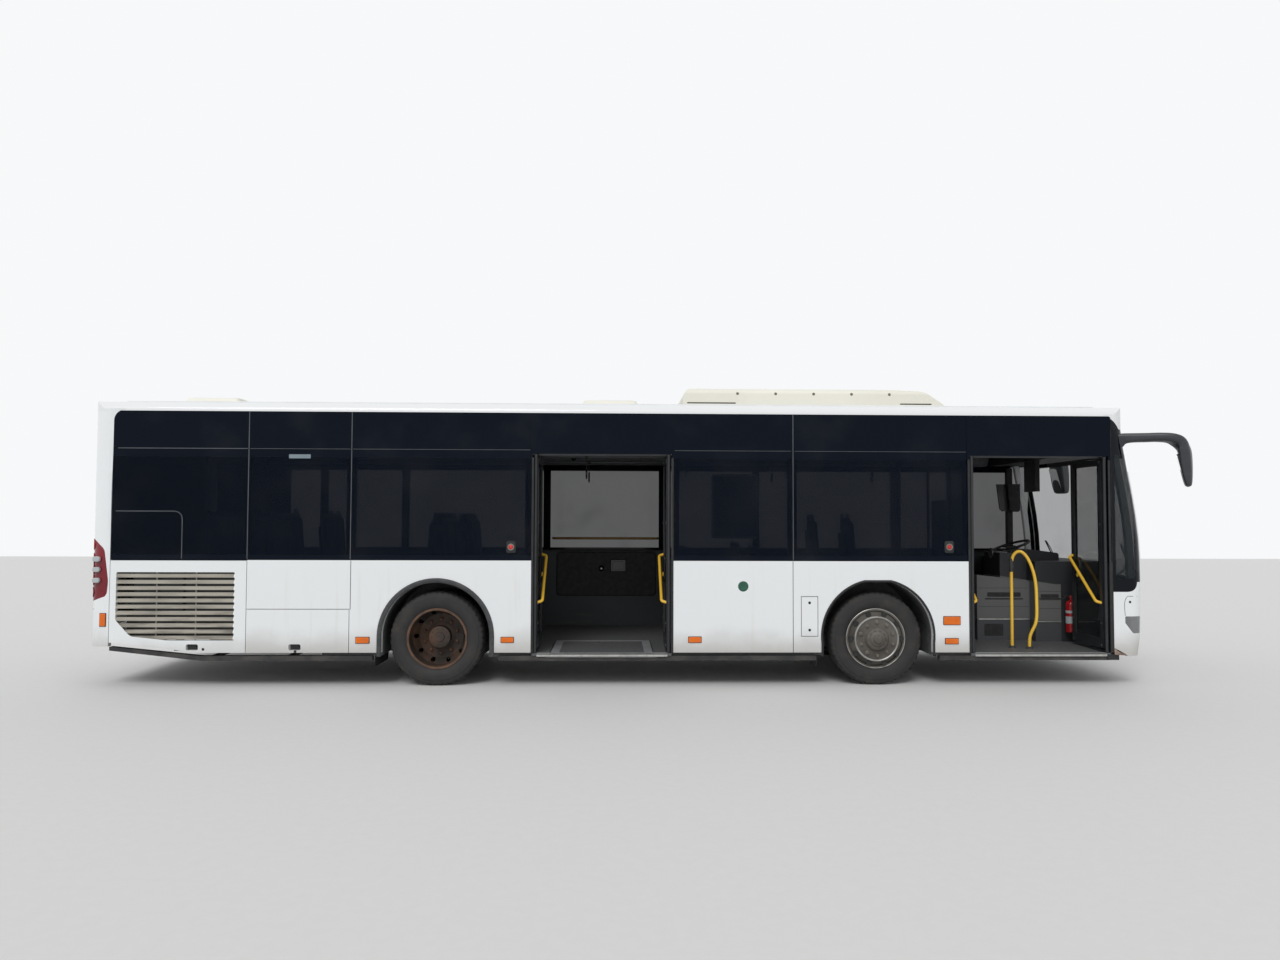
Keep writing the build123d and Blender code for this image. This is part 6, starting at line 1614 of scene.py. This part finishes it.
# Padding: the block is remeshed and blown up as cloth with its back held; no point moves beyond a cap.
def puffed(block, cap):
    scene = bpy.context.scene
    work = makePiece("padWork", [block], "seat_fabric")

    def settled():
        return bpy.data.meshes.new_from_object(work.evaluated_get(bpy.context.evaluated_depsgraph_get()))

    work.modifiers.new("voxels", "REMESH").voxel_size = seat["voxel"]
    work.modifiers.new("evened", "SMOOTH").iterations = 6
    mesh = settled()
    work.modifiers.clear()
    work.data = mesh
    start = readPoints(mesh)
    held = np.flatnonzero(start[:, 2] < start[:, 2].min() + 0.005)
    work.vertex_groups.new(name="held").add(held.tolist(), 1.0, "REPLACE")
    cloth = work.modifiers.new("padCloth", "CLOTH")
    cloth.settings.use_pressure = True
    cloth.settings.uniform_pressure_force = seat["pressure"]
    cloth.settings.effector_weights.gravity = 0
    cloth.settings.vertex_group_mass = "held"
    cloth.point_cache.frame_end = seat["frames"]
    for number in range(1, seat["frames"] + 1):
        scene.frame_set(number)
    shift = readPoints(settled()) - start
    size = np.maximum(np.linalg.norm(shift, axis=1, keepdims=True), 1e-9)
    mesh.vertices.foreach_set("co", (start + shift * np.minimum(1, cap / size)).ravel())
    mesh.update()
    work.modifiers.clear()
    scene.frame_set(1)
    print("pad puffed, largest move %.1f mm" % (1000 * size.max()))
    work.modifiers.new("thinned", "DECIMATE").ratio = seat["triangles"] / (2 * len(mesh.polygons))
    thin = settled()
    thin.calc_loop_triangles()
    faces = np.empty(len(thin.loop_triangles) * 3, np.int32)
    thin.loop_triangles.foreach_get("vertices", faces)
    work.modifiers.clear()
    work.data = thin
    return work, (readPoints(thin), [faces.reshape(-1, 3)])


# Piping and sewn lines lie on the pad: each point is dropped on to it from above.
def sewn(work, line, radius, loop):
    drop = [work.ray_cast(Vector((x, y, 0.3)), Vector(down))[1] for x, y in line]
    return swept(np.array(drop), ringOutline(radius, 6), up, loop)


# A pad of one size with its piping, its inner sewn ring and two sewn lines across.
def seatPad(size, high, cap):
    wide = 2 * seat["half"]
    work, pad = puffed(padBlock(size, wide, high, 0.055), cap)
    seams = [sewn(work, softRectangle(0, 0, size - 0.045, wide - 0.045, 0.040, 6), 0.0032, True),
             sewn(work, softRectangle(0, 0, size - 0.120, wide - 0.130, 0.030, 6), 0.0018, True)]
    reach = seat["half"] - 0.066
    for x in (-size * 0.17, size * 0.17):
        seams.append(sewn(work, [(x, y) for y in np.linspace(-reach, reach, 14)], 0.0016, False))
    bpy.data.objects.remove(work)
    return pad, seams


def lying(part):
    return part[0] + ((seat["cushionRear"] + seat["cushionFront"]) / 2, 0, seat["pan"]), part[1]


def standing(part):  # the pad's length becomes height and leans with the shell
    x, y, z = part[0].T
    height = (seat["backLow"] + seat["backHigh"]) / 2 + x
    return np.column_stack((seat["sheet"] - seat["lean"] * (height - 0.075) + 0.002 + z, -y, height)), part[1]


# Parts made at the origin, put on every place of the rows.
def atPlaces(parts):
    placed = []
    for x, z, leg, places, backwards in seat["rows"]:
        sign = -1 if backwards else 1
        placed += [(points * (sign, sign, 1) + (x, y, z + leg), blocks) for y in places
                   for points, blocks in parts]
    return placed


# Seats: cushions and backs with their seams, a handle on each side and a cover behind.
def makeSeats():
    cushion, cushionSeams = seatPad(seat["cushionFront"] - seat["cushionRear"], seat["cushionHigh"],
                                    seat["cap"])
    back, backSeams = seatPad(seat["backHigh"] - seat["backLow"], seat["backThick"], seat["backCap"])
    handles = [tube([(x, sign * 0.168 - sign * y, z) for x, y, z in seat["handle"]], 0.0100, 0.040, 12)
               for sign in (-1, 1)]
    cover = swept(seat["cover"], softBar(0.012, 0.330, 0.005), leftward)
    seams = [lying(seam) for seam in cushionSeams] + [standing(seam) for seam in backSeams]
    for name, parts, look in (("seat_cushions", [lying(cushion)], "seatCloth"),
                              ("seat_backs", [standing(back)], "seatCloth"),
                              ("seat_seams", seams, "seamCloth"),
                              ("seat_handles", handles, "blackGloss"),
                              ("seat_back_covers", [cover], "seat_frame_grey")):
        piece = makePiece(name, atPlaces(parts), look, sharp=60)
        if look == "seatCloth":
            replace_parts(piece, "seats")


makeSeats()
print("seats made")
